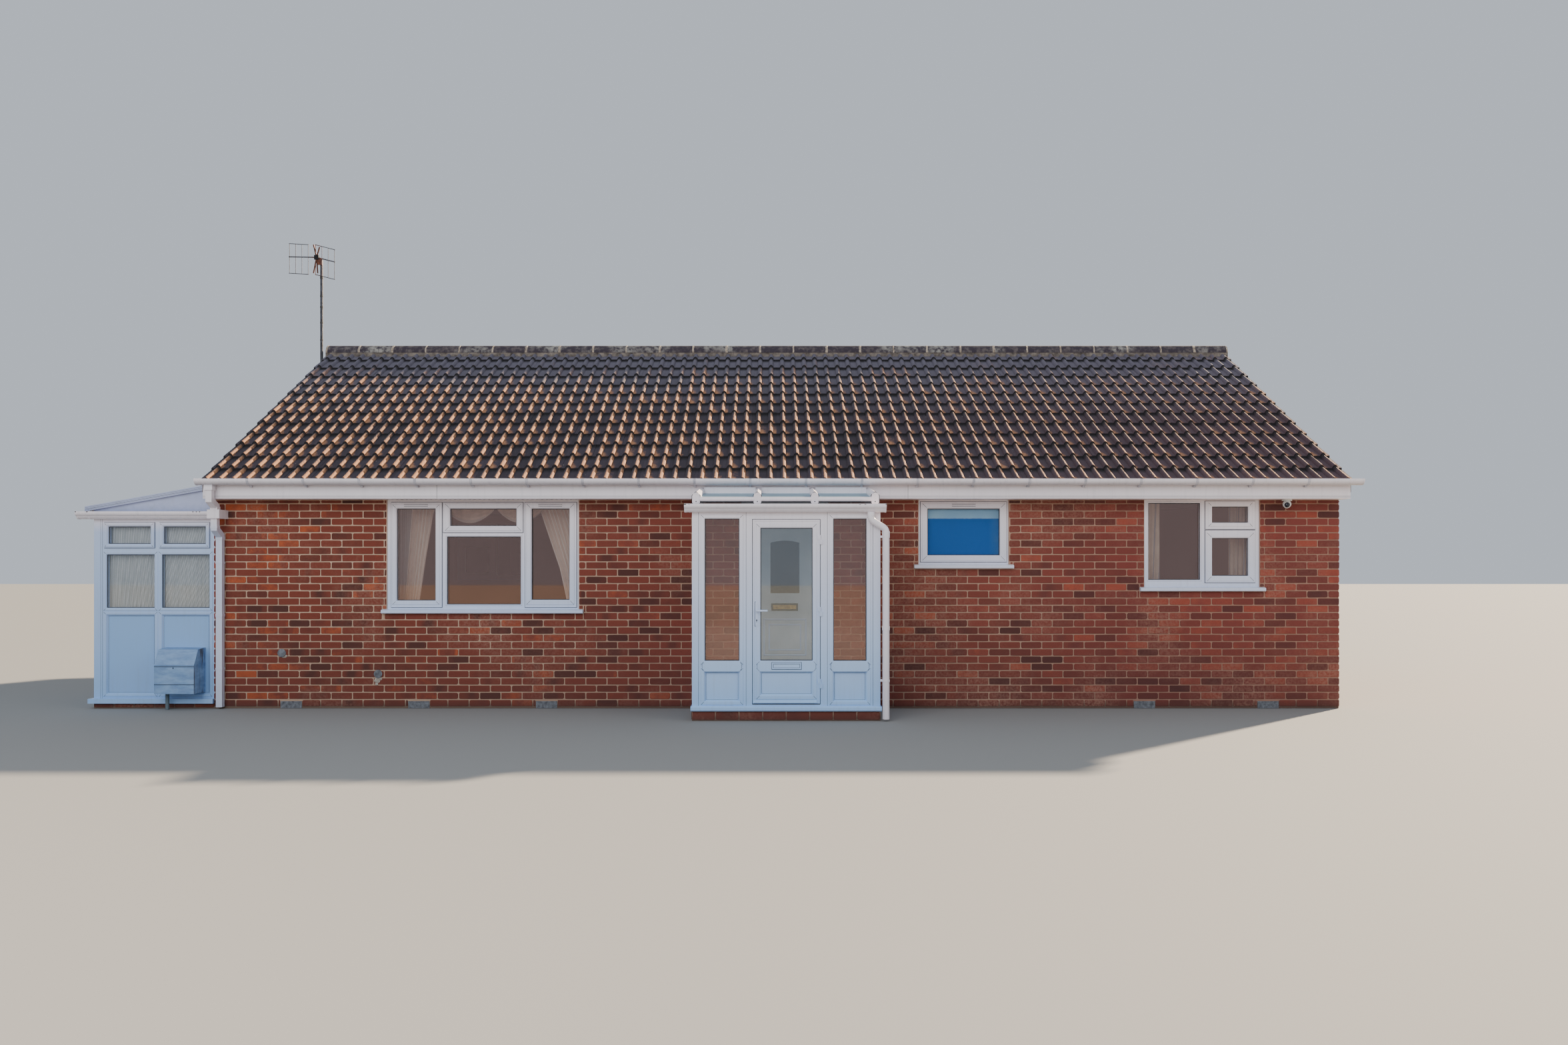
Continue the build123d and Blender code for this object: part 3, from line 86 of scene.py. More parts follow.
# Windows: span, sill top, fixed panes, sashes with their panes, which sashes have a head vent
FRAME_Y = -3.415
SASH_Y = -3.427
GLASS_Y = -3.397
LIVING = (
    (-4.209, -2.137),
    1.068,
    [(0.645, 0.628, 0.052, 0.397)],
    [
        ((0.046, 1.481, 0.022, 0.028), (0.105, 1.549, 0.095, 0.095)),
        ((0.606, 0.605, 0.831, 0.028), (0.681, 0.674, 0.901, 0.095)),
        ((1.491, 0.026, 0.022, 0.028), (1.560, 0.102, 0.102, 0.095)),
    ],
    (0, 2),
)
SMALL = (
    (1.533, 2.505),
    1.552,
    [],
    [((0.022, 0.022, 0.028, 0.022), (0.097, 0.094, 0.100, 0.095))],
    (0,),
)
RIGHT = (
    (3.970, 5.216),
    1.307,
    [(0.047, 0.637, 0.079, 0.033)],
    [
        ((0.662, 0.047, 0.628, 0.016), (0.735, 0.119, 0.698, 0.073)),
        ((0.662, 0.047, 0.049, 0.330), (0.735, 0.119, 0.123, 0.413)),
    ],
    (),
)
WINDOWS = (LIVING, SMALL, RIGHT)

# A sill's ears and thickness, and how far the opening itself reaches below the sill's top
SILL_EAR = 0.05
SILL_THICK = 0.043
OPENING_BELOW = 0.03

# Front porch
DOORWAY = (-0.38, 0.56)
PORCH_X = (-0.84, 1.029)
PORCH_Y = -4.5
PORCH_POST = 0.07
PORCH_BASE_EAR = 0.012
PORCH_BASE_TOP = 0.144
PORCH_PANE = -4.477
PORCH_LIGHTS = ((-0.714, -0.370), (0.562, 0.893))
PORCH_LIGHT_Z = (0.594, 2.006)
PORCH_PANEL_Z = (0.194, 0.485)
PORCH_BARS = (-0.799, -0.191, 0.378, 0.978)
PORCH_RIM = 2.149
DOOR = (-0.238, 0.430, 0.168, 1.996)
DOOR_PANE = (-0.161, 0.357, 0.597, 1.914)
DOOR_PANEL = (-0.161, 0.357, 0.254, 0.485)
DOOR_PANE_IN = 0.0155
DOOR_BAND = 0.046
LETTER = (-0.046, 0.245, 0.511, 0.578)
HANDLE_PLATE = (-0.214, -0.182, 0.937, 1.179)
KEYHOLE_X = -0.198
KEYHOLE_Z = 0.998
ENTRY_Y = -3.359
ENTRY_MIDDLE = 0.09

# Side porch
SIDE_LEFT = -7.372
SIDE_BACK = -1.03
SIDE_LIGHTS = ((-7.235, -6.717), (-6.638, -6.123))
SIDE_VENTS = ((-7.215, -6.757), (-6.618, -6.163))
SIDE_PANEL_Z = (0.155, 1.008)
SIDE_LIGHT_Z = (1.084, 1.660)
SIDE_VENT_Z = (1.775, 1.962)
SIDE_PANE_IN = 0.018
SIDE_BAYS = [(-3.34 + 0.57 * n, -2.83 + 0.57 * n) for n in range(4)]
SIDE_RIM = 2.122
SIDE_ROOF = (-7.456, 2.178, 0.178)

AIR_BRICKS = (-5.24, -3.862, -2.484, 3.97, 5.306)
AIR_BRICK_HALF = 0.114
AIR_BRICK_TOP = 0.078
MAST_X = -6.193
MAST_BRACKETS = (3.42, 3.92)
MAST_BRACKET_HALF = 0.062

# How far trims and thin lines reach into what carries them, and a height above every wall's top
BITE = 0.001
LINE_BITE = 0.0006
OVER_ALL = 3.0

# Threads of the cloths, in radians a metre
THREADS = 2600.0


def linear(text):
    """A screen colour such as c05030 as linear red, green, blue."""
    parts = [int(text[i : i + 2], 16) / 255 for i in (0, 2, 4)]
    return tuple(p / 12.92 if p <= 0.04045 else ((p + 0.055) / 1.055) ** 2.4 for p in parts)


def scaled(colour, factor):
    return tuple(factor * c for c in colour)


def size(name, description, default):
    return bpy.props.FloatProperty(
        name=name, description=description, default=default, unit="LENGTH"
    )


def tint(name, description, text):
    return bpy.props.FloatVectorProperty(
        name=name, description=description, default=linear(text), subtype="COLOR", min=0, max=1
    )


class BrickSettings(bpy.types.PropertyGroup):
    length: size("Brick length", "One stretcher with its joint", 0.2288)
    course: size("Course", "One brick high with its joint", 0.0783)
    foot: size("First course", "Foot of the lowest whole course", 0.016)
    joint: size("Joint", "Width of the mortar between bricks", 0.012)
    proud: size("Proud", "How far a brick stands out of the mortar", 0.005)
    red: tint("Red", "Most of the bricks", "7f3b2c")
    dark: tint("Dark", "Burnt bricks", "522d26")
    light: tint("Light", "Orange bricks", "b9572f")
    pale: tint("Pale", "Lime bloom", "a27a68")
    mortar: tint("Mortar", "Joints", "cdab92")


class RoofSettings(bpy.types.PropertyGroup):
    tiles: bpy.props.IntProperty(name="Tiles", description="Tiles in one course", default=42, min=1)
    roll_high: size("Roll height", "How far a roll stands over the pan", 0.036)
    roll_wide: size("Roll width", "Width of a roll at its foot", 0.066)
    thick: size("Tile thickness", "Height of a tile's front edge", 0.026)
    lap: size("Overhang", "How far a tile reaches over the step below it", 0.014)
    pan: tint("Pan", "Weathered flat of a tile", "302932")
    # This colour stands for wear and for a painted sunlit highlight on the rolls.
    crest_wear_and_highlight: tint("Crest", "Worn top of a roll", "ad7a55")
    lichen: tint("Lichen", "Pale spots", "b9b7ae")


class PlasticSettings(bpy.types.PropertyGroup):
    # Painted shade: plastic runs from the white colour high up to the darker, bluer low colour near
    # the ground.
    white: tint("White plastic", "Frames and gutters high up", "f2eaef")
    low: tint("White plastic low down", "Frames near the ground", "a6cdf8")
    # Painted shade: the side porch's white panels are coloured blue, as in shade.
    side_panel: tint("Side porch panels", "Boards of the side porch", "8eb4e0")
    # This colour is dirt, and also paints shade on the house gutter's lower half.
    grime_and_shade: tint("Grime", "Dirt in corners and runs", "8f9096")


class ClothSettings(bpy.types.PropertyGroup):
    drape: tint("Drapes", "Living room drapes and swags", "f6dcc8")
    voile: tint("Voile", "Nets", "cfd3d2")
    curtain: tint("Right room curtains", "Curtains of the right window", "e0d2c0")
    blind: tint("Blind", "Roller blind", "126bc6")
    fold: size("Fold depth", "How deep the folds are", 0.018)


class StageSettings(bpy.types.PropertyGroup):
    floor: tint("Floor", "Plain floor", "8a8a88")
    sky: tint("Sky light", "Light from all round", "dfe8f4")
    eye: size("Eye height", "Height of the camera", 1.53)
    back: size("Distance", "How far the camera stands in front of the middle", 16.6)


def arithmetic(operation, flipped=False):
    """A method of Shade that adds a Math node with its own value first, or second where flipped."""

    def method(self, other=None):
        values = [self] if other is None else [self, other]
        return self.maths(operation, *(values[::-1] if flipped else values))

    return method


class Shade:
    """A number that varies over a surface; Python arithmetic on it adds Math nodes."""

    def __init__(self, finish, socket):
        self.finish = finish
        self.socket = socket

    def maths(self, operation, *values, clamp=False):
        settings = {"operation": operation, "use_clamp": clamp}
        return self.finish.node("ShaderNodeMath", settings, *values)

    __add__ = __radd__ = arithmetic("ADD")
    __mul__ = __rmul__ = arithmetic("MULTIPLY")
    __sub__ = arithmetic("SUBTRACT")
    __rsub__ = arithmetic("SUBTRACT", flipped=True)
    __gt__ = arithmetic("GREATER_THAN")
    __lt__ = arithmetic("LESS_THAN")
    __abs__ = arithmetic("ABSOLUTE")
    sine = arithmetic("SINE")

    def limit(self):
        """Kept between 0 and 1."""
        return self.maths("ADD", self, 0.0, clamp=True)

    def ramp(self, low, high):
        """0 below low and 1 above high, straight between them."""
        return ((self - low) * (1 / (high - low))).limit()


class Finish:
    """One material: its main shader and the nodes that feed it."""

    def __init__(self, name, **constants):
        self.material = bpy.data.materials.new(name)
        self.material.use_nodes = True
        self.tree = self.material.node_tree
        self.shader = self.tree.nodes["Principled BSDF"]
        self.feed(**constants)
        self.point = self.node("ShaderNodeTexCoord", {}, output="Object")

    def put(self, socket, value):
        """Links a Shade, or sets a number or a colour; text is a screen colour."""
        if isinstance(value, Shade):
            self.tree.links.new(value.socket, socket)
            return
        if isinstance(value, str):
            value = linear(value)
        if socket.type == "RGBA" and len(value) == 3:
            value = (*value, 1.0)
        socket.default_value = value

    def feed(self, **values):
        """Sets or links the main shader's sockets; an underscore stands for a space."""
        for name, value in values.items():
            self.put(self.shader.inputs[name.replace("_", " ")], value)

    def node(self, kind, settings, *values, output=0, **named):
        """Adds a node: settings first, then its sockets by place or by name."""
        node = self.tree.nodes.new(kind)
        stops = settings.pop("stops", None)
        for key, value in settings.items():
            setattr(node, key, value)
        if stops:
            elements = node.color_ramp.elements
            for place, colour in stops[2:]:
                elements.new(place).color = (*colour, 1.0)
            for element, (place, colour) in zip(elements, sorted(stops)):
                element.position = place
                element.color = (*colour, 1.0)
        for index, value in enumerate(values):
            self.put(node.inputs[index], value)
        for name, value in named.items():
            self.put(node.inputs[name], value)
        return Shade(self, node.outputs[output])

    def axes(self):
        split = self.node("ShaderNodeSeparateXYZ", {}, self.point)
        outputs = split.socket.node.outputs
        return [Shade(self, outputs[i]) for i in range(3)]

    def stretched(self, x, y, z):
        """Object coordinates with each axis scaled."""
        return self.node("ShaderNodeVectorMath", {"operation": "MULTIPLY"}, self.point, (x, y, z))

    def noise(self, scale, detail=3.0, roughness=0.55, place=None):
        place = place or self.point
        return self.node(
            "ShaderNodeTexNoise", {}, Vector=place, Scale=scale, Detail=detail, Roughness=roughness
        )

    def value(self, name):
        """A number that the mesh holds at each point."""
        return self.node("ShaderNodeAttribute", {"attribute_name": name}, output="Fac")

    def mix(self, factor, first, second):
        """From the first colour to the second as factor goes from 0 to 1."""
        node = self.tree.nodes.new("ShaderNodeMix")
        node.data_type = "RGBA"
        self.put(node.inputs[0], factor)
        self.put(node.inputs[6], first)
        self.put(node.inputs[7], second)
        return Shade(self, node.outputs[2])

    def ramp(self, factor, *stops):
        return self.node("ShaderNodeValToRGB", {"stops": list(stops)}, factor)

    def bump(self, height, distance, strength=1.0):
        settings = {"Height": height, "Distance": distance, "Strength": strength}
        self.feed(Normal=self.node("ShaderNodeBump", {}, output="Normal", **settings))


class Shape:
    """Points, faces and point values gathered for one piece.

    Points come as on the front: x to the right, y inwards, z up. look() turns what is added
    after it to face another side of the house, by whole quarter turns about the upright axis.
    """

    def __init__(self, side="front"):
        self.points = []
        self.faces = []
        self.values = {}
        self.count = 0
        self.look(side)

    def look(self, side):
        quarter = SIDES.index(side) * math.pi / 2
        self.turn = round(math.cos(quarter)), round(math.sin(quarter))
        return self

    def add(self, points, faces, **values):
        x, y, z = np.asarray(points, float).reshape(-1, 3).T
        c, s = self.turn
        self.points.append(np.column_stack([x * c - y * s, x * s + y * c, z]))
        if isinstance(faces, list):
            self.faces += [[i + self.count for i in f] for f in faces]
        else:
            self.faces += (faces + self.count).tolist()
        for name, value in values.items():
            self.values.setdefault(name, []).append(np.broadcast_to(value, len(x)))
        self.count += len(x)
        return self


def lattice(rows, columns, loop_rows=False, loop_columns=False):
    """Faces of a grid: each joins a point to the next in its row and in its column."""
    r = np.arange(rows if loop_rows else rows - 1)[:, None]
    c = np.arange(columns if loop_columns else columns - 1)[None, :]
    below, beside = (r + 1) % rows, (c + 1) % columns
    corners = [r * columns + c, r * columns + beside, below * columns + beside, below * columns + c]
    return np.stack(np.broadcast_arrays(*corners), axis=-1).reshape(-1, 4)


def many(points, faces):
    """The same faces for each of many point sets stacked on the first axis."""
    sets = points.shape[0]
    each = int(np.prod(points.shape[1:-1]))
    return (faces[None] + np.arange(sets)[:, None, None] * each).reshape(-1, faces.shape[1])


def turned_to(outline, anticlockwise):
    """The outline, run the other way round where its signed area says that it has to be."""
    outline = np.asarray(outline, float)
    a, b = outline.T
    area = np.sum(a * np.roll(b, -1) - b * np.roll(a, -1))
    return outline if (area > 0) == anticlockwise else outline[::-1]


BOX_FACES = np.array(
    [[0, 1, 3, 2], [4, 6, 7, 5], [0, 4, 5, 1], [2, 3, 7, 6], [0, 2, 6, 4], [1, 5, 7, 3]]
)


def add_boxes(shape, boxes):
    """Plain boxes from low and high x, y and z: corner k takes high where its bit is set."""
    boxes = np.asarray(boxes, float).reshape(-1, 3, 2)
    bits = np.array([[(k >> 2) & 1, (k >> 1) & 1, k & 1] for k in range(8)])
    corners = np.stack([boxes[:, axis][:, bits[:, axis]] for axis in range(3)], axis=-1)
    return shape.add(corners, many(corners, BOX_FACES))


def add_lines(shape, segments, width, face, proud):
    """Thin straight strips on an upright face, each from x0, z0 to x1, z1, a little proud of it."""
    segments = np.asarray(segments, float).reshape(-1, 4)
    start, end = segments[:, :2], segments[:, 2:]
    ahead = (end - start) / np.linalg.norm(end - start, axis=1)[:, None]
    across = np.column_stack([-ahead[:, 1], ahead[:, 0]]) * width / 2
    corners = []
    for k in range(8):
        spot = (end if k & 4 else start) + (across if k & 1 else -across)
        y = face + (LINE_BITE if k & 2 else -proud)
        corners.append(np.column_stack([spot[:, 0], np.full(len(spot), y), spot[:, 1]]))
    points = np.stack(corners, axis=1)
    return shape.add(points, many(points, BOX_FACES))


def add_prism(shape, outline, start, end, axis="x"):
    """An outline carried straight along x, where it is y, z, or along y, where it is x, z."""
    a, b = turned_to(outline, axis == "x").T
    count = len(a)
    order = {"x": (2, 0, 1), "y": (0, 2, 1)}[axis]
    rings = []
    for place in (start, end):
        columns = (a, b, np.full(count, place))
        rings.append(np.column_stack([columns[i] for i in order]))
    ends = [list(range(count))[::-1], list(range(count, 2 * count))]
    return shape.add(np.array(rings), lattice(2, count, loop_columns=True).tolist() + ends)


def add_moulding(shape, rect, face, profile):
    """A profile carried round a rectangle with mitred corners.

    rect is x0, x1, z0, z1; each profile point is how far in from the rectangle and how far out
    of the face.
    """
    x0, x1, z0, z1 = rect
    inward, out = turned_to(profile, True).T
    corners = [(x0, 1, z0, 1), (x1, -1, z0, 1), (x1, -1, z1, -1), (x0, 1, z1, -1)]
    rings = []
    for x, right, z, up in corners:
        rings.append(np.column_stack([x + right * inward, face - out, z + up * inward]))
    return shape.add(np.array(rings), lattice(4, len(inward), loop_rows=True, loop_columns=True))


def add_tube(shape, path, radius, sides=12):
    """A circle carried along a path of points; its rings stand square to the path's direction."""
    path = np.asarray(path, float)
    ahead = np.gradient(path, axis=0)
    ahead /= np.linalg.norm(ahead, axis=1)[:, None]
    guide = np.where(np.abs(ahead[:, [2]]) > 0.9, [[0.0, 1.0, 0.0]], [[0.0, 0.0, 1.0]])
    side = np.cross(ahead, guide)
    side /= np.linalg.norm(side, axis=1)[:, None]
    up = np.cross(side, ahead)
    turn = np.linspace(0, 2 * np.pi, sides, endpoint=False)
    radius = np.broadcast_to(radius, len(path))[:, None, None]
    ring = np.cos(turn)[None, :, None] * side[:, None] + np.sin(turn)[None, :, None] * up[:, None]
    points = path[:, None] + radius * ring
    count = len(path)
    faces = lattice(count, sides, loop_columns=True)[:, ::-1].tolist()
    caps = [list(range(sides)), list(range((count - 1) * sides, count * sides))[::-1]]
    return shape.add(points, faces + caps)


def add_ball(shape, centre, radii, rows=12, columns=20):
    """An ellipsoid in circles of latitude: radius by the cosine, height by the sine of an angle."""
    angle = np.linspace(-1.5, 1.5, rows)[:, None]
    turn = np.linspace(0, 2 * np.pi, columns, endpoint=False)[None, :]
    unit = [np.cos(angle) * np.cos(turn), np.cos(angle) * np.sin(turn), np.sin(angle) + 0 * turn]
    points = np.stack(unit, axis=-1) * radii + centre
    caps = [list(range(columns))[::-1], list(range((rows - 1) * columns, rows * columns))]
    return shape.add(points, lattice(rows, columns, loop_columns=True).tolist() + caps)


def linked(name, data):
    """A new object in the scene."""
    thing = bpy.data.objects.new(name, data)
    bpy.context.scene.collection.objects.link(thing)
    return thing


def make_piece(name, shape, finish, slot, body="root", smooth=None, replaces=()):
    """Puts a shape into a mesh object that rides on its body, with its finish."""
    mesh = bpy.data.meshes.new(name)
    points = np.concatenate(shape.points)
    mesh.from_pydata(points.tolist(), [], shape.faces)
    for key, parts in shape.values.items():
        attribute = mesh.attributes.new(key, "FLOAT", "POINT")
        attribute.data.foreach_set("value", np.concatenate(parts).astype(np.float32))
    mesh.materials.append(FINISHES[finish])
    if smooth is not None:
        mesh.shade_smooth()
        mesh.set_sharp_from_angle(angle=math.radians(smooth))
    mesh.update()
    piece = linked(name, mesh)
    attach(piece, body)
    if replaces:
        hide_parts(*replaces)
    return piece


FINISHES = {}


def brick_finish(settings):
    """Each brick's tone picks a red, with burnt clouds, a pale bloom, a dragged face of sand grains
    and painted shade at the foot.
    """
    f = Finish("brick", Roughness=0.9)
    x, _, z = f.axes()
    tone = f.value("tone")
    centre = (1 - abs(f.value("end"))).ramp(0.1, 0.85)
    broad = f.noise(0.55, 2.0)
    cloud = f.noise(11.0, 4.0, 0.6)
    grain = f.noise(170.0, 4.0, 0.7)
    orange = (1 - (x + broad * 0.4).ramp(-5.25, -4.95)) * 0.16
    pick = tone + (cloud - 0.5) * 0.5 + (broad - 0.5) * 0.5 + orange
    calm = 1 - x.ramp(3.0, 4.0) * 0.6
    pick = (pick - f.value("flash") * centre * calm * 0.75 + (1 - calm) * 0.2).limit()
    red, dark, light = settings.red, settings.dark, settings.light
    brown = tuple(0.5 * a + 0.5 * b for a, b in zip(red, dark))
    body = f.ramp(pick, (0.0, dark), (1.0, light), (0.22, brown), (0.48, red), (0.8, red))
    pink = x.ramp(-4.8, 1.5) * 0.5
    body = f.mix(pink, body, f.mix(tone, "54302e", "a65548"))
    body = f.mix(x.ramp(2.4, 3.8) * 0.5, body, f.mix(tone, "4c2628", "8a3b37"))
    sandy_and_shaded = f.mix((grain - 0.45) * 1.9, body, scaled(dark, 0.55))
    # Painted shade on the lowest course, and darker towards the bottom of the wall.
    sandy_and_shaded = f.mix((1 - z.ramp(0.0, 0.1)) * 0.6 + (1 - z.ramp(0.1, 1.2)) * 0.35, sandy_and_shaded, dark)
    patch = (f.noise(1.1, 4.0, 0.6) + (abs(x - 2.3) < 1.2) * 0.06).ramp(0.47, 0.66)
    bloom = patch * f.noise(42.0, 4.0, 0.65).ramp(0.38, 0.62) * (tone + 0.25).limit() * 0.5
    f.feed(Base_Color=f.mix(bloom, sandy_and_shaded, settings.pale))
    f.bump(grain * 0.6 + cloud * 0.4, 0.004)
    return f.material


def mortar_finish(settings):
    """Sandy joints outside with painted shade along the foot, brown papered faces inside the rooms.
    """
    f = Finish("mortar", Roughness=0.95)
    x, y, z = f.axes()
    grain = f.noise(220.0, 3.0, 0.7)
    cloud = f.noise(4.0, 4.0)
    pale = settings.mortar
    deep = scaled(pale, 0.45)
    joint = f.mix(cloud.ramp(0.4, 0.8) * 0.6, pale, deep)
    joint = f.mix(grain.ramp(0.55, 0.8) * 0.5, joint, deep)
    joint = f.mix((1 - z.ramp(0.2, 1.5)) * 0.4, joint, deep)
    joint = f.mix(x.ramp(-3.5, -1.0) * 0.35 + x.ramp(2.4, 3.8) * 0.3, joint, "8a5c50")
    # Painted shade along the wall's foot, as on the bricks.
    joint = f.mix((1 - z.ramp(0.03, 0.09)) * 0.75, joint, "43352e")
    outside = ((abs(x) > HALF - 0.02) + (abs(y) > DEEP - 0.02)).limit()
    f.feed(Base_Color=f.mix(outside, "c9a087", joint))
    f.bump(grain, 0.003)
    return f.material


def tile_finish(settings):
    """Dark pans, rolls with wear and a painted sunlit highlight, front edges and lip bands in
    painted shade, a tone for each tile and pale lichen spots.
    """
    f = Finish("roof_tile", Roughness=0.85)
    crest_wear_and_highlight = f.value("crest_wear_and_highlight")
    reach = f.value("reach")
    edge = f.value("edge")
    tone = f.value("tone")
    cloud = f.noise(2.2, 5.0, 0.6)
    patch = f.noise(30.0, 4.0, 0.65)
    grain = f.noise(240.0, 3.0, 0.7)
    x, _, z = f.axes()
    clouds = (patch - 0.5) * 1.1 + (tone - 0.5) * 0.6 + (cloud - 0.5) * 0.6
    # Painted highlight: the rolls' right flanks and feet lit as by the sun, with their wear, dimmer
    # to the left.
    lit_and_worn = (crest_wear_and_highlight * 1.2 + clouds - (1 - x.ramp(-6.0, 0.0)) * 0.2).ramp(0.35, 0.95)
    # Near-black for the painted shade of front edges and lip bands.
    black = scaled(settings.pan, 0.2)
    pan = f.mix(tone, settings.pan, scaled(settings.pan, 1.7))
    # Painted light: a pinkish glow of flare over the right of the roof.
    pan = f.mix(x.ramp(0.5, 5.0) * 0.6, pan, "5e464c")
    # Painted sky-lit shade: a paler, bluer grey towards the ridge.
    pan = f.mix(z.ramp(3.3, 4.3) * 0.8, pan, "6f6b79")
    colour = f.mix(lit_and_worn, pan, settings.crest_wear_and_highlight)
    # Painted shadow in a band under each course's lip.
    colour = f.mix(reach.ramp(0.62, 0.84) * 0.92, colour, black)
    spots = f.node("ShaderNodeTexVoronoi", {}, Vector=f.point, Scale=14.0).ramp(0.05, 0.09)
    scarce = f.noise(5.0, 2.0).ramp(0.57, 0.62)
    colour = f.mix((1 - spots) * scarce * 0.8, colour, settings.lichen)
    colour = f.mix((grain - 0.4) * 0.7, colour, scaled(settings.pan, 0.5))
    # Painted shade on the tiles' front edges.
    f.feed(Base_Color=f.mix(edge.ramp(0.02, 0.3), colour, black))
    f.bump(grain * 0.5 + patch, 0.005)
    return f.material


def ridge_finish(settings):
    """Weathered ridge tiles, dark brown-grey with lichen patches."""
    f = Finish("ridge_tile", Roughness=0.88)
    patch = f.noise(16.0, 5.0, 0.65)
    grain = f.noise(220.0, 3.0, 0.7)
    broad = f.noise(1.6, 3.0)
    dark = scaled(settings.pan, 1.35)
    colour = f.mix(patch.ramp(0.46, 0.75) * 0.75, dark, "7d736e")
    colour = f.mix(broad.ramp(0.5, 0.68) * patch.ramp(0.4, 0.6) * 0.7, colour, settings.lichen)
    f.feed(Base_Color=f.mix(grain.ramp(0.5, 0.8) * 0.6, colour, settings.pan))
    f.bump(grain * 0.4 + patch, 0.004)
    return f.material


def plastic_finish(settings, name, high=None, low=None, roughness=0.32, wash=1.0, under=0.0):
    """White plastic, faintly clouded, with dirt low down and in runs, and painted shade: bluer low
    down and on the side porch, darker on the house gutter's lower half.
    """
    f = Finish(name, Roughness=roughness)
    x, _, z = f.axes()
    cloud = f.noise(1.8, 4.0)
    runs = f.noise(1.0, 4.0, 0.6, f.stretched(26.0, 26.0, 1.6))
    # Painted shade: darker and bluer towards the ground.
    tone = f.mix(z.ramp(0.2, 2.1), low or settings.low, high or settings.white)
    # Painted shade: the side porch's plastic turns bluer below its head.
    tone = f.mix((1 - x.ramp(-6.1, -5.7)) * (1 - z.ramp(1.9, 2.05)) * 0.6, tone, "8fb6e4")
    foot = 1 - z.ramp(0.05, 0.5)
    grime_and_shade = (runs.ramp(0.52, 0.8) * 0.13 + cloud.ramp(0.45, 0.8) * 0.08 + foot * runs * 0.2) * wash
    # Painted shade: under darkens the house gutter's lower half.
    if under:
        grime_and_shade = grime_and_shade + (1 - z.ramp(2.395, 2.44)) * z.ramp(2.37, 2.38) * under
    f.feed(Base_Color=f.mix(grime_and_shade, tone, settings.grime_and_shade))
    f.bump(f.noise(5.0, 2.0), 0.0008, 0.4)
    return f.material


def board_finish(settings):
    """Lilac-white gable boarding, darker and bluer along its foot."""
    f = Finish("gable_board", Roughness=0.5)
    _, _, z = f.axes()
    spots = f.noise(24.0, 5.0, 0.7)
    foot = 1 - (z + (spots - 0.5) * 0.16).ramp(2.05, 2.22)
    colour = f.mix(foot * 0.7, "b3bbd8", "7688b0")
    colour = f.mix(f.noise(7.0, 4.0).ramp(0.45, 0.75) * 0.25, colour, settings.grime_and_shade)
    f.feed(Base_Color=colour)
    f.bump(spots, 0.0008)
    return f.material


def meter_finish():
    """Weathered blue-grey shell: dragged grain, chalky patches, rusty streaks on its right."""
    f = Finish("meter_box_shell", Roughness=0.65)
    x, _, z = f.axes()
    drag = f.noise(1.0, 5.0, 0.65, f.stretched(5.0, 5.0, 16.0))
    patch = f.noise(10.0, 4.0, 0.6)
    colour = f.mix(drag.ramp(0.35, 0.7), "6a8ab4", "8eaed2")
    colour = f.mix(patch.ramp(0.5, 0.8) * 0.5, colour, "7e91b4")
    streak = f.noise(1.0, 4.0, 0.6, f.stretched(60.0, 22.0, 2.2)).ramp(0.5, 0.62)
    colour = f.mix(x.ramp(-6.183, -6.179) * streak * 0.85, colour, "4d4440")
    f.feed(Base_Color=f.mix(1 - z.ramp(0.172, 0.178), colour, "5b6a72"))
    f.bump(drag + patch, 0.002)
    return f.material


def aerial_finish():
    """Grey alloy that turns rusty brown round the hub, which is black."""
    f = Finish("aerial_alloy", Roughness=0.5, Metallic=0.7)
    x, _, z = f.axes()
    aside = abs(x - (MAST_X - 0.056))
    cloud = f.noise(40.0, 4.0)
    alloy = f.mix(cloud.ramp(0.4, 0.7), "63636a", "3f3c3d")
    rust = f.mix(cloud.ramp(0.35, 0.65), "6a3d2c", "38241d")
    colour = f.mix((1 - aside.ramp(0.06, 0.09)) * z.ramp(5.45, 5.5), alloy, rust)
    hub = (1 - aside.ramp(0.03, 0.035)) * (1 - abs(z - 5.731).ramp(0.03, 0.035))
    f.feed(Base_Color=f.mix(hub, colour, "141416"))
    f.bump(cloud, 0.001)
    return f.material


def glass_finish(name, body, haze, least, more):
    """A faint, mostly see-through mirror that shows more at grazing views and in the rear wall."""
    f = Finish(name, Metallic=1.0, Roughness=haze)
    facing = f.node("ShaderNodeLayerWeight", {}, 0.25, output="Facing")
    smear = f.noise(3.0, 3.0)
    x, y, _ = f.axes()
    rear = (y > DEEP - 0.1) * 0.9
    blue = (abs(x - 2.02) < 0.5) * (y < GLASS_Y + 0.1)
    colour = f.mix(blue, f.mix(rear, body, "39424c"), "5f7f9c")
    shown = least + facing * more + smear * 0.03 + rear - blue * 0.1
    f.feed(Base_Color=colour, Alpha=shown.limit())
    return f.material


def weave_of(across, down):
    """Two crossed sets of threads: a sine along each direction, multiplied."""
    return (across * THREADS).sine() * (down * THREADS).sine()


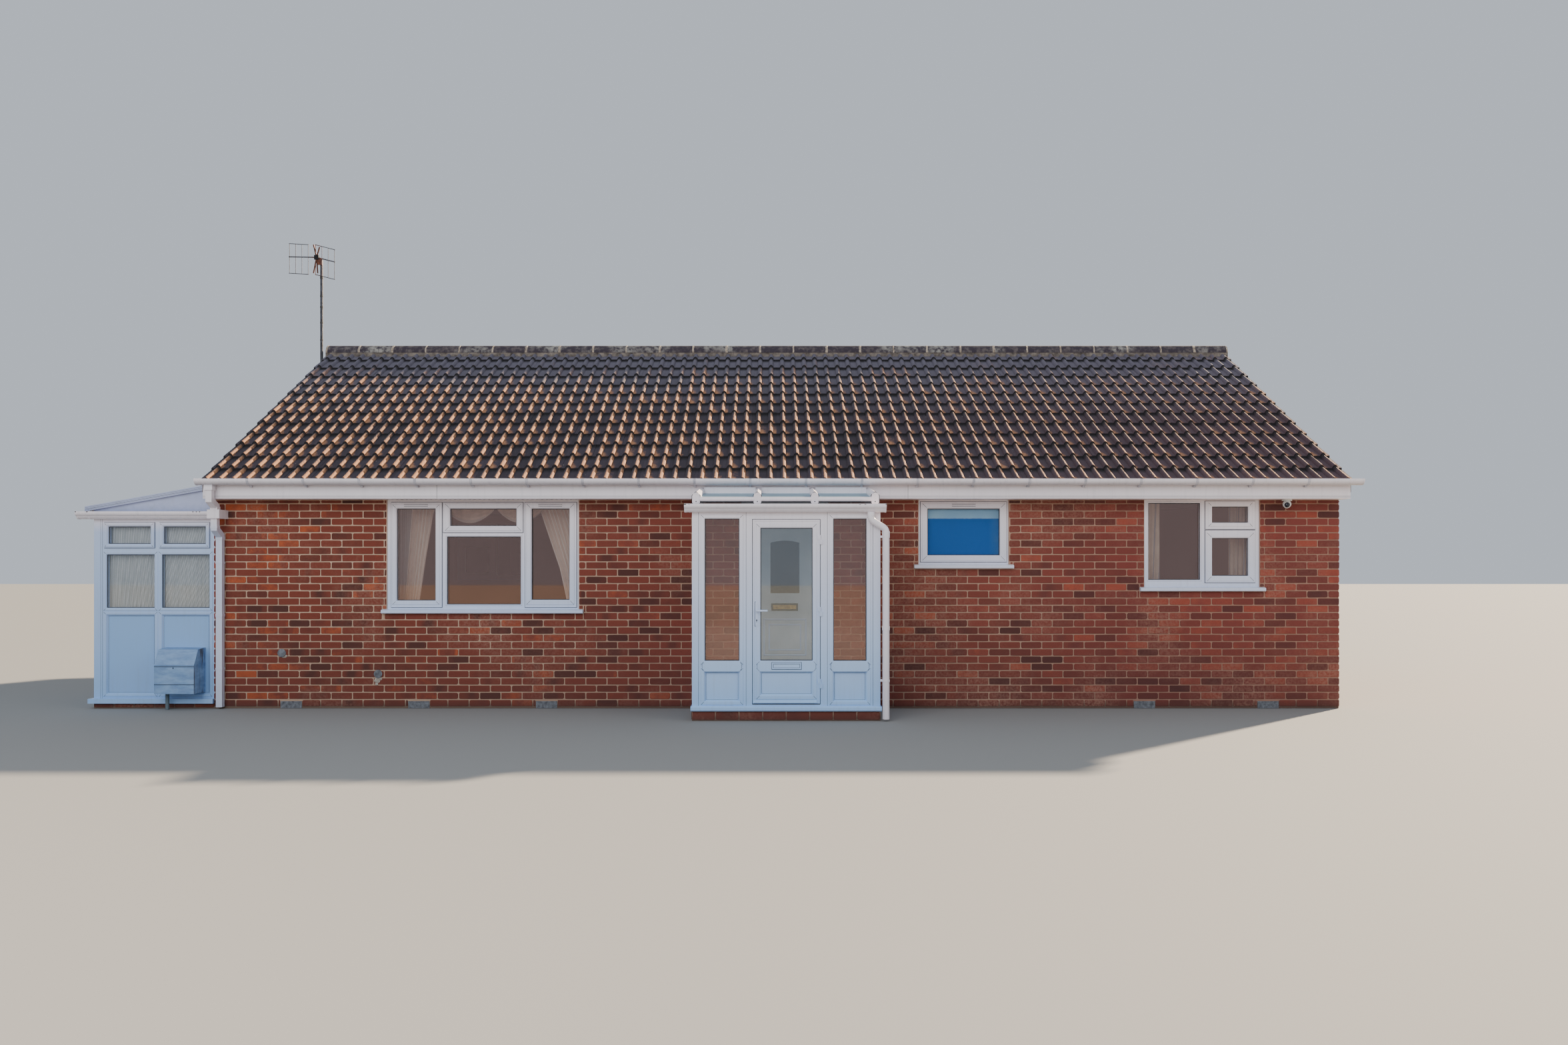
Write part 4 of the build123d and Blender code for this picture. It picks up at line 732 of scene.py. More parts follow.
def cloth_finish(name, colour, see_through, stripe, pale=None):
    """Woven cloth: threads in metres over the sheet, a soft mottle and woven stripes."""
    f = Finish(name, Roughness=0.9)
    u, v = f.value("across"), f.value("down")
    weave = weave_of(u, v)
    mottle = f.noise(9.0, 4.0)
    dark = scaled(colour, 0.6)
    tone = f.mix((mottle.ramp(0.35, 0.7) * 0.4 + weave * 0.12).limit(), colour, dark)
    lines = ((u * (6.2832 / stripe)).sine() + (u * (14.1 / stripe)).sine() * 0.5).ramp(0.5, 1.1)
    tone = f.mix(lines * 0.75, tone, pale or tuple(min(1.0, 1.6 * c) for c in colour))
    f.feed(Base_Color=tone)
    if see_through < 1:
        f.feed(Alpha=(see_through + weave * 0.06 + (mottle - 0.5) * 0.15).limit())
    f.bump(weave, 0.0006)
    return f.material


def swag_finish(colour):
    """The drapes' cloth with a pale fringe along its lower border."""
    f = Finish("swag_cloth", Roughness=0.9)
    weave = weave_of(f.value("across"), f.value("down"))
    dark = scaled(colour, 0.55)
    tone = f.mix((f.noise(12.0, 4.0).ramp(0.35, 0.7) * 0.6 + weave * 0.1).limit(), colour, dark)
    f.feed(Base_Color=f.mix(f.value("border").ramp(0.86, 0.9), tone, "d8c6b8"))
    f.bump(weave, 0.0006)
    return f.material


def blind_finish(colour):
    """Blue roller blind with a pale band at its head and a paler right edge."""
    f = Finish("blind_cloth", Roughness=0.85)
    x, _, z = f.axes()
    weave = weave_of(x, z)
    cloud = f.noise(3.0, 3.0)
    fine = f.noise(90.0, 3.0)
    tone = f.mix(fine.ramp(0.4, 0.7) * 0.25, colour, scaled(colour, 0.75))
    side = x.ramp(2.30, 2.42) * cloud.ramp(0.3, 0.6) * 0.45
    tone = f.mix(side, tone, "6fa6cf")
    band = (z + (fine - 0.5) * 0.012).ramp(2.046, 2.056)
    f.feed(Base_Color=f.mix(band, tone, f.mix(cloud, "c3edff", "9bcbf4")))
    f.bump(weave, 0.0005)
    return f.material


def plain_finish(name, first, second, roughness, scale, metallic, depth):
    """Two close colours clouded together, with a fine bump."""
    f = Finish(name, Roughness=roughness, Metallic=metallic)
    cloud = f.noise(scale, 4.0, 0.6)
    f.feed(Base_Color=f.mix(cloud.ramp(0.35, 0.7), first, second))
    f.bump(f.noise(scale * 20, 3.0) + cloud, depth)
    return f.material


# Material name, two colours, roughness, scale of the clouds, metallic and depth of the bump
PLAIN_FINISHES = {
    "bedding": ("ridge_mortar", "8f857b", "463e3b", 0.95, 14.0, 0.0, 0.004),
    "collar": ("joint_mortar", "c8b9a6", "7a6a5d", 0.95, 22.0, 0.0, 0.003),
    "smear": ("smeared_mortar", "bdb4a8", "857a70", 0.95, 30.0, 0.0, 0.003),
    "vent": ("air_brick_clay", "7f8288", "505156", 0.9, 30.0, 0.0, 0.003),
    "concrete": ("concrete", "8d8880", "6d675f", 0.95, 6.0, 0.0, 0.004),
    "plaster": ("plaster", "c0a18c", "a98a76", 0.95, 2.0, 0.0, 0.001),
    # The straps' grey is painted shade on the white gutter brackets.
    "strap": ("gutter_strap", "cfcbd2", "a9a8b2", 0.45, 30.0, 0.0, 0.001),
    # The rubber and line finishes also draw painted shadow in gaps and round raised parts.
    "rubber": ("gasket_and_shadow", "24262b", "3b3d42", 0.6, 30.0, 0.0, 0.001),
    "line": ("joint_and_shadow_line", "40454f", "2a2e36", 0.8, 20.0, 0.0, 0.001),
    "dark": ("dark_gap", "15161a", "0c0d10", 0.8, 20.0, 0.0, 0.001),
    "entry": ("entry_door_paint", "ccd8de", "b3c2cc", 0.45, 3.0, 0.0, 0.001),
    "brass": ("letter_flap", "c9a560", "8d6f3c", 0.35, 30.0, 0.9, 0.001),
    "camera": ("camera_shell", "e8e8e6", "d5d5d2", 0.3, 9.0, 0.0, 0.001),
    "lens": ("camera_lens", "141623", "1f2438", 0.08, 9.0, 0.0, 0.001),
    "metal": ("mast_metal", "50525a", "312f31", 0.5, 20.0, 0.6, 0.001),
    "tape": ("mast_tape", "2a2a2c", "45423f", 0.6, 20.0, 0.0, 0.001),
    "rod": ("curtain_rail", "e4e2dc", "d2cfc8", 0.4, 9.0, 0.0, 0.001),
}

# Material name, tint, haze, least share that shows, and how much more towards grazing views
GLASS_FINISHES = {
    "glass": ("glazing", "d8b4aa", 0.02, 0.15, 0.5),
    "clear": ("side_porch_glazing", "d3dde6", 0.02, 0.05, 0.5),
    "door_glass": ("door_glazing", "c0c8cc", 0.02, 0.18, 0.5),
    "obscure": ("obscure_glazing", "54463c", 0.4, 0.8, 0.5),
    "sheet": ("roof_sheet", "8fc0d4", 0.3, 0.6, 0.3),
}

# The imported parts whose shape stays, by their finish
DRESSED = {
    "mortar": "front_wall_left front_wall_right front_wall_over_door rear_wall left_gable_wall"
    " right_gable_wall porch_bases",
    "concrete": "floor_slab",
    "plaster": "ceiling",
    "plastic": "living_window small_window right_window rear_windows window_sills porch_front_frame"
    " porch_side_frames porch_sills porch_roof_bars porch_roof_trims porch_door porch_door_handle"
    " side_porch_frame side_porch_roof porch_panels",
    "side_panel": "side_porch_panels",
    "board": "side_porch_gable_fill",
    "fascia": "eaves_boards",
    "strap": "gutter_brackets",
    "gutter": "gutters downpipes pipe_clips porch_gutter porch_downpipe side_porch_gutter",
    "glass": "window_glass porch_glass",
    "door_glass": "porch_door_glass",
    "clear": "side_porch_glass",
    "obscure": "inner_door_glass",
    "sheet": "porch_roof_sheets",
    "entry": "inner_door inner_door_frame",
    "bedding": "ridge_bedding roof_front_slope roof_rear_slope",
    "ridge": "ridge_tiles",
    "meter": "meter_box",
    "camera": "security_camera",
    "vent": "air_bricks",
    "metal": "aerial_mast",
    "aerial": "aerial_head",
    "rod": "curtain_rails",
}


class BUNGALOW_OT_finishes(bpy.types.Operator):
    """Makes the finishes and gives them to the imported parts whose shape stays"""

    bl_idname = "bungalow.finishes"
    bl_label = "Finishes"

    def execute(self, context):
        scene = context.scene
        bricks, roof = scene.bungalow_bricks, scene.bungalow_roof
        plastic, cloth = scene.bungalow_plastic, scene.bungalow_cloth
        white, side = plastic.white, plastic.side_panel
        FINISHES.update({key: plain_finish(*row) for key, row in PLAIN_FINISHES.items()})
        FINISHES.update({key: glass_finish(*row) for key, row in GLASS_FINISHES.items()})
        FINISHES.update(
            brick=brick_finish(bricks),
            mortar=mortar_finish(bricks),
            tile=tile_finish(roof),
            ridge=ridge_finish(roof),
            plastic=plastic_finish(plastic, "white_plastic"),
            # The gutter's last number, 0.4, is painted shade on its lower half.
            gutter=plastic_finish(plastic, "gutter_plastic", white, white, 0.3, 1.6, 0.4),
            fascia=plastic_finish(plastic, "fascia", white, white, 0.38, 1.2),
            # The side panels' blue colour is painted shade.
            side_panel=plastic_finish(plastic, "side_panel", side, side, 0.45),
            board=board_finish(plastic),
            drape=cloth_finish("drape_cloth", cloth.drape, 0.93, 0.043),
            voile=cloth_finish("voile", cloth.voile, 0.55, 0.021),
            net=cloth_finish("net", cloth.voile, 0.8, 0.03),
            curtain=cloth_finish("curtain_cloth", cloth.curtain, 1.0, 0.09, "7e93a8"),
            swag=swag_finish(cloth.drape),
            blind=blind_finish(cloth.blind),
            meter=meter_finish(),
            aerial=aerial_finish(),
        )
        for finish, nodes in DRESSED.items():
            for name in nodes.split():
                mesh = NODES[name].data
                mesh.materials.clear()
                mesh.materials.append(FINISHES[finish])
        return {"FINISHED"}


def running_bond(length, height, bricks, headers_on_odd):
    """Bricks of a wall as u0, u1, z0, z1: each course steps half a brick, its ends are cut."""
    count = round(length / bricks.length)
    step = length / count
    places = []
    for row in range(math.ceil((height - bricks.foot) / bricks.course)):
        edges = np.arange(count + 1) * step
        if (row % 2 == 1) == headers_on_odd:
            edges = np.concatenate([[0.0], (np.arange(count) + 0.5) * step, [length]])
        z0 = bricks.foot + row * bricks.course
        z = np.full((len(edges) - 1, 2), [z0, min(z0 + bricks.course, height)])
        places.append(np.column_stack([edges[:-1], edges[1:], z]))
    return np.concatenate(places)


# Width and height, joints and all, that a part of a cut brick has to pass to be laid
LEAST_PART = (0.024, 0.02)


def cut(places, holes):
    """Bricks less the holes: each that meets one keeps its parts left, right, below and above."""
    for a, b, low, high in holes:
        x0, x1, z0, z1 = places.T
        meets = (x1 > a) & (x0 < b) & (z1 > low) & (z0 < high)
        x0, x1, z0, z1 = places[meets].T
        left = np.column_stack([x0, np.minimum(x1, a), z0, z1])
        right = np.column_stack([np.maximum(x0, b), x1, z0, z1])
        middle = np.maximum(x0, a), np.minimum(x1, b)
        below = np.column_stack([*middle, z0, np.minimum(z1, low)])
        above = np.column_stack([*middle, np.maximum(z0, high), z1])
        parts = np.concatenate([left, right, below, above])
        parts = parts[(parts[:, 1::2] - parts[:, ::2] > LEAST_PART).all(axis=1)]
        places = np.concatenate([places[~meets], parts])
    return places


BRICK_POINTS = 24
BURNT_SHARE = 0.12


def brick_skin(places, length, bricks, wrap, seed, limit=None):
    """Bricks of one wall as closed blocks: three rings of eight points, at foot, shoulder and face.

    A ring is the brick's rectangle less half the joint, with its corners cut by a radius; the
    foot is sunk in the mortar, the face ring is drawn in by the worn edge, and the points of
    the shoulder and the face are pushed about by about a millimetre. limit caps the heights.
    """
    rng = np.random.default_rng(seed)
    count = len(places)
    gap = bricks.joint / 2
    edge, sunk = 0.0022, 0.002
    over = (gap + bricks.proud) * wrap
    low_u = places[:, 0] + gap - (places[:, 0] < 1e-6) * over
    high_u = places[:, 1] - gap + (places[:, 1] > length - 1e-6) * over
    low_z, high_z = places[:, 2] + gap, places[:, 3] - gap
    corner = rng.uniform(0.003, 0.012, count)
    rings = []
    for inset, out in ((0.0, -sunk), (0.0, bricks.proud - edge), (edge, bricks.proud)):
        a, b, c, d = low_u + inset, high_u - inset, low_z + inset, high_z - inset
        r = np.minimum(corner, 0.4 * np.minimum(b - a, d - c))
        u = np.stack([a + r, b - r, b, b, b - r, a + r, a, a], axis=1)
        z = np.stack([c, c, c + r, d - r, d, d, d - r, c + r], axis=1)
        rings.append(np.stack([u - length / 2, np.full_like(u, -out), z], axis=-1))
    points = np.stack(rings, axis=1)
    points[:, 1:] += rng.uniform(-0.0014, 0.0014, (count, 1, 8, 3)) * [1, 0.4, 1]
    points[:, 1:, :, 1] += rng.uniform(-0.0008, 0.0014, (count, 1, 1))
    if limit is not None:
        points[..., 2] = np.minimum(points[..., 2], limit(points[..., 0]))
    burnt = rng.random(count) < BURNT_SHARE
    tone = np.where(burnt, rng.uniform(0.0, 0.25, count), 0.25 + 0.75 * rng.beta(2.0, 2.2, count))
    ends = [[23, 16, 17, 18], [22, 23, 18, 19], [21, 22, 19, 20]]
    ends += [[2, 1, 0, 7], [3, 2, 7, 6], [4, 3, 6, 5]]
    faces = np.concatenate([lattice(3, 8, loop_columns=True), ends])
    flash = np.clip(rng.normal(-0.1, 0.5, count), 0, 1)
    end = np.tile([-1, 1, 1, 1, 1, -1, -1, -1], 3 * count)
    values = {"tone": tone, "flash": flash, "end": rng.uniform(-0.4, 0.4, count)}
    values = {key: np.repeat(value, BRICK_POINTS) for key, value in values.items()}
    values["end"] = end + values["end"]
    return points.reshape(count, BRICK_POINTS, 3), faces, values


def tile_top(y):
    """Height of the roof's course edges at a distance y from the ridge line."""
    return EAVES_TOP + (EAVES_OUT - np.abs(y)) * ROOF_SLOPE


def gable_top(u):
    """Where gable brickwork stops: just inside the roof's thickness."""
    return tile_top(u) - ROOF_THICK + INTO_ROOF


def gable_bond(bricks):
    """Running bond kept to the gable: each brick's foot ends where the roof's line passes it."""
    places = running_bond(2 * DEEP, GABLE_HIGH, bricks, False)
    under = places[:, 2] + ROOF_THICK + INTO_ROOF
    reach = EAVES_OUT - (under - EAVES_TOP) / ROOF_SLOPE
    low = np.maximum(places[:, 0], DEEP - reach)
    high = np.minimum(places[:, 1], DEEP + reach)
    places = np.column_stack([low, high, places[:, 2], places[:, 3]])
    return places[high - low > 0.04]


class BUNGALOW_OT_brickwork(bpy.types.Operator):
    """Lays every brick of the four walls, and the brick bases of the porches"""

    bl_idname = "bungalow.brickwork"
    bl_label = "Brickwork"

    def execute(self, context):
        bricks = context.scene.bungalow_bricks
        long_wall = running_bond(2 * HALF, HEAD - 0.001, bricks, True)
        windows = []
        for (x0, x1), foot, *_ in WINDOWS:
            left, right = x0 + HALF, x1 + HALF
            windows.append((left, right, foot - OPENING_BELOW, OVER_ALL))
            windows.append((left - SILL_EAR, right + SILL_EAR, foot - SILL_THICK, foot))
        half, post, ear = AIR_BRICK_HALF, PORCH_POST, PORCH_BASE_EAR
        others = [(DOORWAY[0] + HALF, DOORWAY[1] + HALF, -1, OVER_ALL)]
        others += [(x + HALF - half, x + HALF + half, -1, AIR_BRICK_TOP) for x in AIR_BRICKS]
        base = PORCH_X[0] - ear + HALF, PORCH_X[1] + ear + HALF
        others.append((*base, -1, PORCH_BASE_TOP))
        posts = (PORCH_X[0], PORCH_X[1] - post)
        others += [(x + HALF, x + HALF + post, 0, OVER_ALL) for x in posts]
        self.lay("front_bricks", cut(long_wall, windows + others), "front", 11)
        self.lay("rear_bricks", cut(long_wall, windows), "rear", 12)
        gable = gable_bond(bricks)
        back = DEEP + SIDE_BACK
        # The side porch's rear post, base, front post and roof, then the mast's two brackets
        post, top, lap = 0.06, 2.38, 0.045
        holes = [(back - post, back, 0, top), (0, back + lap, 0, 0.104), (0, post, 0, top)]
        holes.append((0, back + 0.04, top - 0.01, 2.432))
        mast = DEEP - MAST_BRACKET_HALF, DEEP + MAST_BRACKET_HALF
        holes += [(*mast, z - 0.028, z + 0.052) for z in MAST_BRACKETS]
        left = cut(gable, [(2 * DEEP - b, 2 * DEEP - a, c, d) for a, b, c, d in holes])
        self.lay("left_gable_bricks", left, "left", 13)
        self.lay("right_gable_bricks", gable, "right", 14)
        self.bases(bricks)
        return {"FINISHED"}

    def lay(self, name, places, side, seed):
        """One wall's bricks, set against its mortar face."""
        bricks = bpy.context.scene.bungalow_bricks
        gable = side in ("left", "right")
        length, face = (2 * DEEP, -HALF) if gable else (2 * HALF, -DEEP)
        limit = gable_top if gable else None
        points, faces, values = brick_skin(places, length, bricks, not gable, seed, limit)
        shape = Shape(side).add(points + [0, face, 0], many(points, faces), **values)
        make_piece(name, shape, "brick", "brick")

    def bases(self, bricks):
        """One course of bricks round the foot of each porch, on the faces of its base."""
        shape = Shape()
        wide = PORCH_X[1] - PORCH_X[0]
        side_wide = -HALF - SIDE_LEFT
        high, low = 0.095, 0.054
        deep = 1.06
        side_deep = DEEP + SIDE_BACK
        runs = [
            ("front", wide, high, PORCH_X[0] + wide / 2, PORCH_Y),
            ("right", deep, high, PORCH_Y + deep / 2, -PORCH_X[1]),
            ("left", deep, high, -PORCH_Y - deep / 2, PORCH_X[0]),
            ("front", side_wide, low, SIDE_LEFT + side_wide / 2, -DEEP),
            ("left", side_deep, low, DEEP - side_deep / 2, SIDE_LEFT),
            ("rear", side_wide, low, -SIDE_LEFT - side_wide / 2, -SIDE_BACK),
        ]
        for seed, (side, length, high, middle, face) in enumerate(runs):
            count = max(1, round(length / bricks.length))
            edges = np.linspace(0, length, count + 1)
            places = np.column_stack([edges[:-1], edges[1:], np.full((count, 2), [0.004, high])])
            points, faces, values = brick_skin(places, length, bricks, False, 20 + seed)
            shape.look(side).add(points + [middle, face, 0], many(points, faces), **values)
        make_piece("porch_base_bricks", shape, "brick", "brick")


def roll_height(s, roof):
    """Two rolls to a tile: across each a parabola to the power 0.8, and flat pans between."""
    near = np.abs((s * 2) % 1 - 0.5) * VERGE / roof.tiles
    return roof.roll_high * np.clip(1 - (2 * near / roof.roll_wide) ** 2, 0, 1) ** 0.8


# How much wear and painted sunlit highlight a tile has across each of its rolls, higher up and at
# its front edge: the highlight lies on each roll's right flank and at the foot spreads onto the pan
LIT_AND_WORN = [0, 0, 0, 0.1, 0.55, 1, 1, 0.7, 0.2]
LIT_AND_WORN_FOOT = [0, 0, 0, 0.1, 0.6, 1, 1, 1, 0.8]


def tile_slope(roof, seed):
    """Every tile of one slope as its own shell.

    Across, a tile follows the roll heights; along the slope it rises in a straight line from its
    front edge to the step of the next course, and its front and sides turn down by its thickness.
    """
    rng = np.random.default_rng(seed)
    wide = 2 * VERGE / roof.tiles
    spread = np.array([-1, -0.9, -0.65, -0.35, 0, 0.35, 0.65, 0.9, 1]) * roof.roll_wide / wide
    across = np.concatenate([[0, 0], 0.25 + spread / 2, 0.75 + spread / 2, [1, 1]])
    skirt = np.zeros(len(across))
    skirt[[0, -1]] = 1
    course = np.arange(COURSES)[:, None, None, None]
    tile = np.arange(roof.tiles)[None, :, None, None]
    each = (COURSES, roof.tiles, 1, 1)
    slide = rng.uniform(-0.005, 0.005, each)
    lift = rng.uniform(0.0, 0.004, each)
    skew = rng.uniform(-0.004, 0.004, each)
    tone = rng.random(each)
    s = across[None, None, None, :]
    edge = EAVES_OUT - course * GAUGE
    rise = ROOF_SLOPE - TILE_STEP / GAUGE
    tuck, low = 0.012, 0.03
    along = [GAUGE + tuck, GAUGE * 0.5, low, -roof.lap, -roof.lap, low]
    along = np.array(along)[None, None, :, None]
    foot = along <= low
    under = np.array([0, 0, 0, 0, 1, 1])[None, None, :, None]
    last = course == COURSES - 1
    reach = np.where(last & ~foot, np.minimum(along, edge - RIDGE_GAP), along)
    reach = reach + slide * foot
    roll = roll_height(s, roof)
    # Painted highlight on each roll's right flank, spreading onto the pan at the foot.
    lit_and_worn = np.where(foot, [0, 0, *LIT_AND_WORN_FOOT, *LIT_AND_WORN_FOOT, 0.3, 0], [0, 0, *LIT_AND_WORN, *LIT_AND_WORN, 0, 0])
    # Painted shadow of the ridge: the highlight dims over the top courses.
    outside_ridge_shadow = np.clip((COURSES - 1.5 - course) / 4, 0.15, 1)
    x = -VERGE + (tile + s) * wide + 0 * reach
    y = reach - edge + 0 * x
    drop = np.maximum(under, skirt[None, None, None, :]) * roof.thick
    z = tile_top(edge) + reach * rise + 0.003 + lift + skew * (s - 0.5) + roll - drop
    points = np.stack([x, y, z], axis=-1).reshape(-1, along.size * len(across), 3)
    up = np.clip(along / GAUGE, 0, 1)
    # Values for the painted highlight, and edge for the front faces' painted shade.
    values = {"crest_wear_and_highlight": lit_and_worn * outside_ridge_shadow, "tone": tone, "reach": up, "edge": under}
    values = {key: np.broadcast_to(value, x.shape).ravel() for key, value in values.items()}
    return points, lattice(along.size, len(across)), values


class BUNGALOW_OT_roof_tiles(bpy.types.Operator):
    """Lays the rolled tiles of both slopes and the mortar collars between the ridge tiles"""

    bl_idname = "bungalow.roof_tiles"
    bl_label = "Roof tiles"

    def execute(self, context):
        roof = context.scene.bungalow_roof
        for side, seed in (("front", 31), ("rear", 32)):
            points, faces, values = tile_slope(roof, seed)
            shape = Shape(side).add(points, many(points, faces), **values)
            make_piece(f"{side}_tiles", shape, "tile", "roof_tile", smooth=42)
        self.collars()
        return {"FINISHED"}

    def collars(self):
        """Rough half rings of mortar: a low hump carried half round the ridge at each joint."""
        rng = np.random.default_rng(33)
        pitch = 2 * VERGE / RIDGE_TILES
        shape = Shape()
        high = np.array([-0.003, 0.0012, 0.003, 0.0012, -0.003])
        rows, columns = 17, len(high)
        angle = np.linspace(0, np.pi, rows)[:, None]
        ends = [list(range(columns))[::-1], list(range((rows - 1) * columns, rows * columns))]
        faces = lattice(rows, columns, loop_columns=True).tolist() + ends
        for n in range(RIDGE_TILES + 1):
            half = rng.uniform(0.010, 0.019)
            centre = np.clip(-VERGE + n * pitch, half - VERGE, VERGE - half)
            along = np.array([-1, -0.8, 0, 0.8, 1]) * half
            rough = rng.uniform(-0.0012, 0.0008, (rows, columns)) * (high > 0)
            radius = RIDGE_RADIUS + high[None] + rough
            x = centre + along[None] + rng.uniform(-0.003, 0.003, (rows, 1))
            y, z = -np.cos(angle) * radius, RIDGE_SPRING + np.sin(angle) * radius
            shape.add(np.stack([np.clip(x, -VERGE, VERGE), y, z], axis=-1), faces)
        make_piece("ridge_collars", shape, "collar", "mortar", smooth=50)


class Trim:
    """The white, rubber and line shapes that together trim one set of frames."""

    def __init__(self):
        self.plastic = Shape()
        self.rubber = Shape()
        self.line = Shape()

    def look(self, side):
        for shape in (self.plastic, self.rubber, self.line):
            shape.look(side)
        return self

    def make(self, name, body="root"):
        for finish in ("plastic", "rubber", "line"):
            shape = getattr(self, finish)
            if shape.count:
                make_piece(f"{name}_{finish}", shape, finish, "white_frame", body)


def grown(rect, by):
    x0, x1, z0, z1 = rect
    return x0 - by, x1 + by, z0 - by, z1 + by


def inside(x, foot, borders):
    """Rectangle left of a window after its borders are taken off."""
    left, right, low, high = borders
    return x[0] + left, x[1] - right, foot + low, HEAD - high


def corners_of(rect):
    x0, x1, z0, z1 = rect
    return [(x0, z0), (x1, z0), (x1, z1), (x0, z1)]


def add_band(trim, outer, wide, face, high=0.005):
    """A low band with bevelled edges inside a rectangle, and a fine line across each corner."""
    bevel = 0.008
    profile = [(0, -BITE), (wide, -BITE), (wide, 0), (wide - bevel, high)]
    profile += [(bevel, high), (0.002, 0.0008)]
    add_moulding(trim.plastic, outer, face, profile)
    ends = corners_of(grown(outer, -bevel)), corners_of(grown(outer, bevel - wide))
    add_lines(trim.line, [(*a, *b) for a, b in zip(*ends)], 0.0032, face - high, 0.0004)


def add_gasket(trim, hole, pane):
    """A rubber bead on the pane along the edge of its hole."""
    bead = [(0, -BITE), (0.0075, -BITE), (0.006, 0.003), (0, 0.0045)]
    add_moulding(trim.rubber, hole, pane, bead)


def add_gap(trim, outer, face, wide=0.0045):
    """A thin dark line just outside a rectangle: painted shadow in the gap there."""
    profile = [(0, -0.0005), (wide, -0.0005), (wide, 0.0008), (0, 0.0008)]
    add_moulding(trim.line, grown(outer, wide), face, profile)


def add_rail(trim, x0, x1, low, high, face):
    """A raised rail with cut corners and a fine dark line of painted shadow round it."""
    cut_off = 0.026
    for shape, grow, out in ((trim.line, 0.002, 0.0012), (trim.plastic, 0.0, 0.006)):
        a, b, c, d = x0 - grow, x1 + grow, low - grow, high + grow
        outline = [(a + cut_off, c), (b - cut_off, c), (b, c + cut_off), (b, d - cut_off)]
        outline += [(b - cut_off, d), (a + cut_off, d), (a, d - cut_off), (a, c + cut_off)]
        add_prism(shape, outline, face - out, face + BITE, "y")


def add_light(trim, hole, face, pane, band=0.043):
    """A fixed light: rubber on the pane and a band on the frame round it."""
    add_gasket(trim, hole, pane)
    add_band(trim, grown(hole, band), band - 0.001, face)


def add_panel(trim, hole, face, board, band=0.043):
    """A boarded opening: a sloping bead on the board and a band on the frame round it."""
    add_moulding(trim.plastic, hole, board, [(0, -BITE), (0.012, -BITE), (0, 0.013)])
    # Painted shadow at the foot of the bead.
    add_gap(trim, grown(hole, -0.0145), board, 0.002)
    add_band(trim, grown(hole, band), band - 0.001, face)


def add_sash(trim, outer, hole, face):
    """A raised sash: a dark line of painted shadow in the gap round it, a band on its face and
    rubber on the pane.
    """
    add_gap(trim, outer, face + 0.012, 0.0055)
    wide = min(abs(a - b) for a, b in zip(outer, hole))
    add_band(trim, grown(hole, wide - 0.009), wide - 0.012, face)
    add_gasket(trim, hole, face + 0.03)


def add_vent(trim, middle, z, face, half=0.128):
    """A hooded slot in a sash's head: a rounded cap over a mouth, with lines of painted shade in
    the mouth and along the cap's top.
    """
    cap = [(0.0005, -0.008), (-0.006, -0.008), (-0.0095, -0.003)]
    cap += [(-0.0095, 0.005), (-0.005, 0.010), (0.0005, 0.010)]
    add_prism(trim.plastic, [(face + a, z + b) for a, b in cap], middle - half, middle + half)
    edges = [(middle - half, z + level, middle + half, z + level) for level in (-0.0105, 0.0115)]
    add_lines(trim.line, edges, 0.004, face, 0.003)


class BUNGALOW_OT_windows(bpy.types.Operator):
    """Adds beads, rubber, sash gaps, mitres and vents to the windows of both long walls"""

    bl_idname = "bungalow.windows"
    bl_label = "Windows"

    def execute(self, context):
        for side in ("front", "rear"):
            trim = Trim().look(side)
            for x, foot, fixed, sashes, vents in WINDOWS:
                for borders in fixed:
                    hole = inside(x, foot, borders)
                    add_gasket(trim, hole, GLASS_Y)
                    add_band(trim, grown(hole, 0.018), 0.0175, FRAME_Y, 0.006)
                for n, (outer, hole) in enumerate(sashes):
                    outer, hole = inside(x, foot, outer), inside(x, foot, hole)
                    add_sash(trim, outer, hole, SASH_Y)
                    if n in vents:
                        middle, z = (hole[0] + hole[1]) / 2, (hole[3] + outer[3]) / 2
                        add_vent(trim, middle, z, SASH_Y - 0.0035)
            trim.make(f"{side}_window_trims")
        return {"FINISHED"}


def cloth_piece(name, points, finish, slot, held, rests_on, replaces, thick=0.0012, **values):
    """A grid of cloth as a thin closed shell: the grid, a copy a thickness behind, a border strip.

    The distances across and down are added up along the grid, so that the weave keeps its scale
    in the folds.
    """
    rows, columns = points.shape[:2]
    across = np.zeros((rows, columns))
    across[:, 1:] = np.cumsum(np.linalg.norm(np.diff(points, axis=1), axis=2), axis=1)
    down = np.zeros((rows, columns))
    down[1:] = np.cumsum(np.linalg.norm(np.diff(points, axis=0), axis=2), axis=0)
    number = np.arange(rows * columns).reshape(rows, columns)
    border = np.concatenate([number[:-1, 0], number[-1, :-1], number[:0:-1, -1], number[0, :0:-1]])
    ahead = np.roll(border, -1)
    total = rows * columns
    edge = np.column_stack([border, border + total, ahead + total, ahead])
    front = lattice(rows, columns)
    faces = np.concatenate([front[:, ::-1], front + total, edge])
    both = np.concatenate([points.reshape(-1, 3), points.reshape(-1, 3) + [0, thick, 0]])
    values = {"across": across, "down": down, **values}
    values = {key: np.tile(np.broadcast_to(v, down.shape).ravel(), 2) for key, v in values.items()}
    shape = Shape().add(both, faces, **values)
    piece = make_piece(name, shape, finish, slot, smooth=60, replaces=replaces)
    return piece


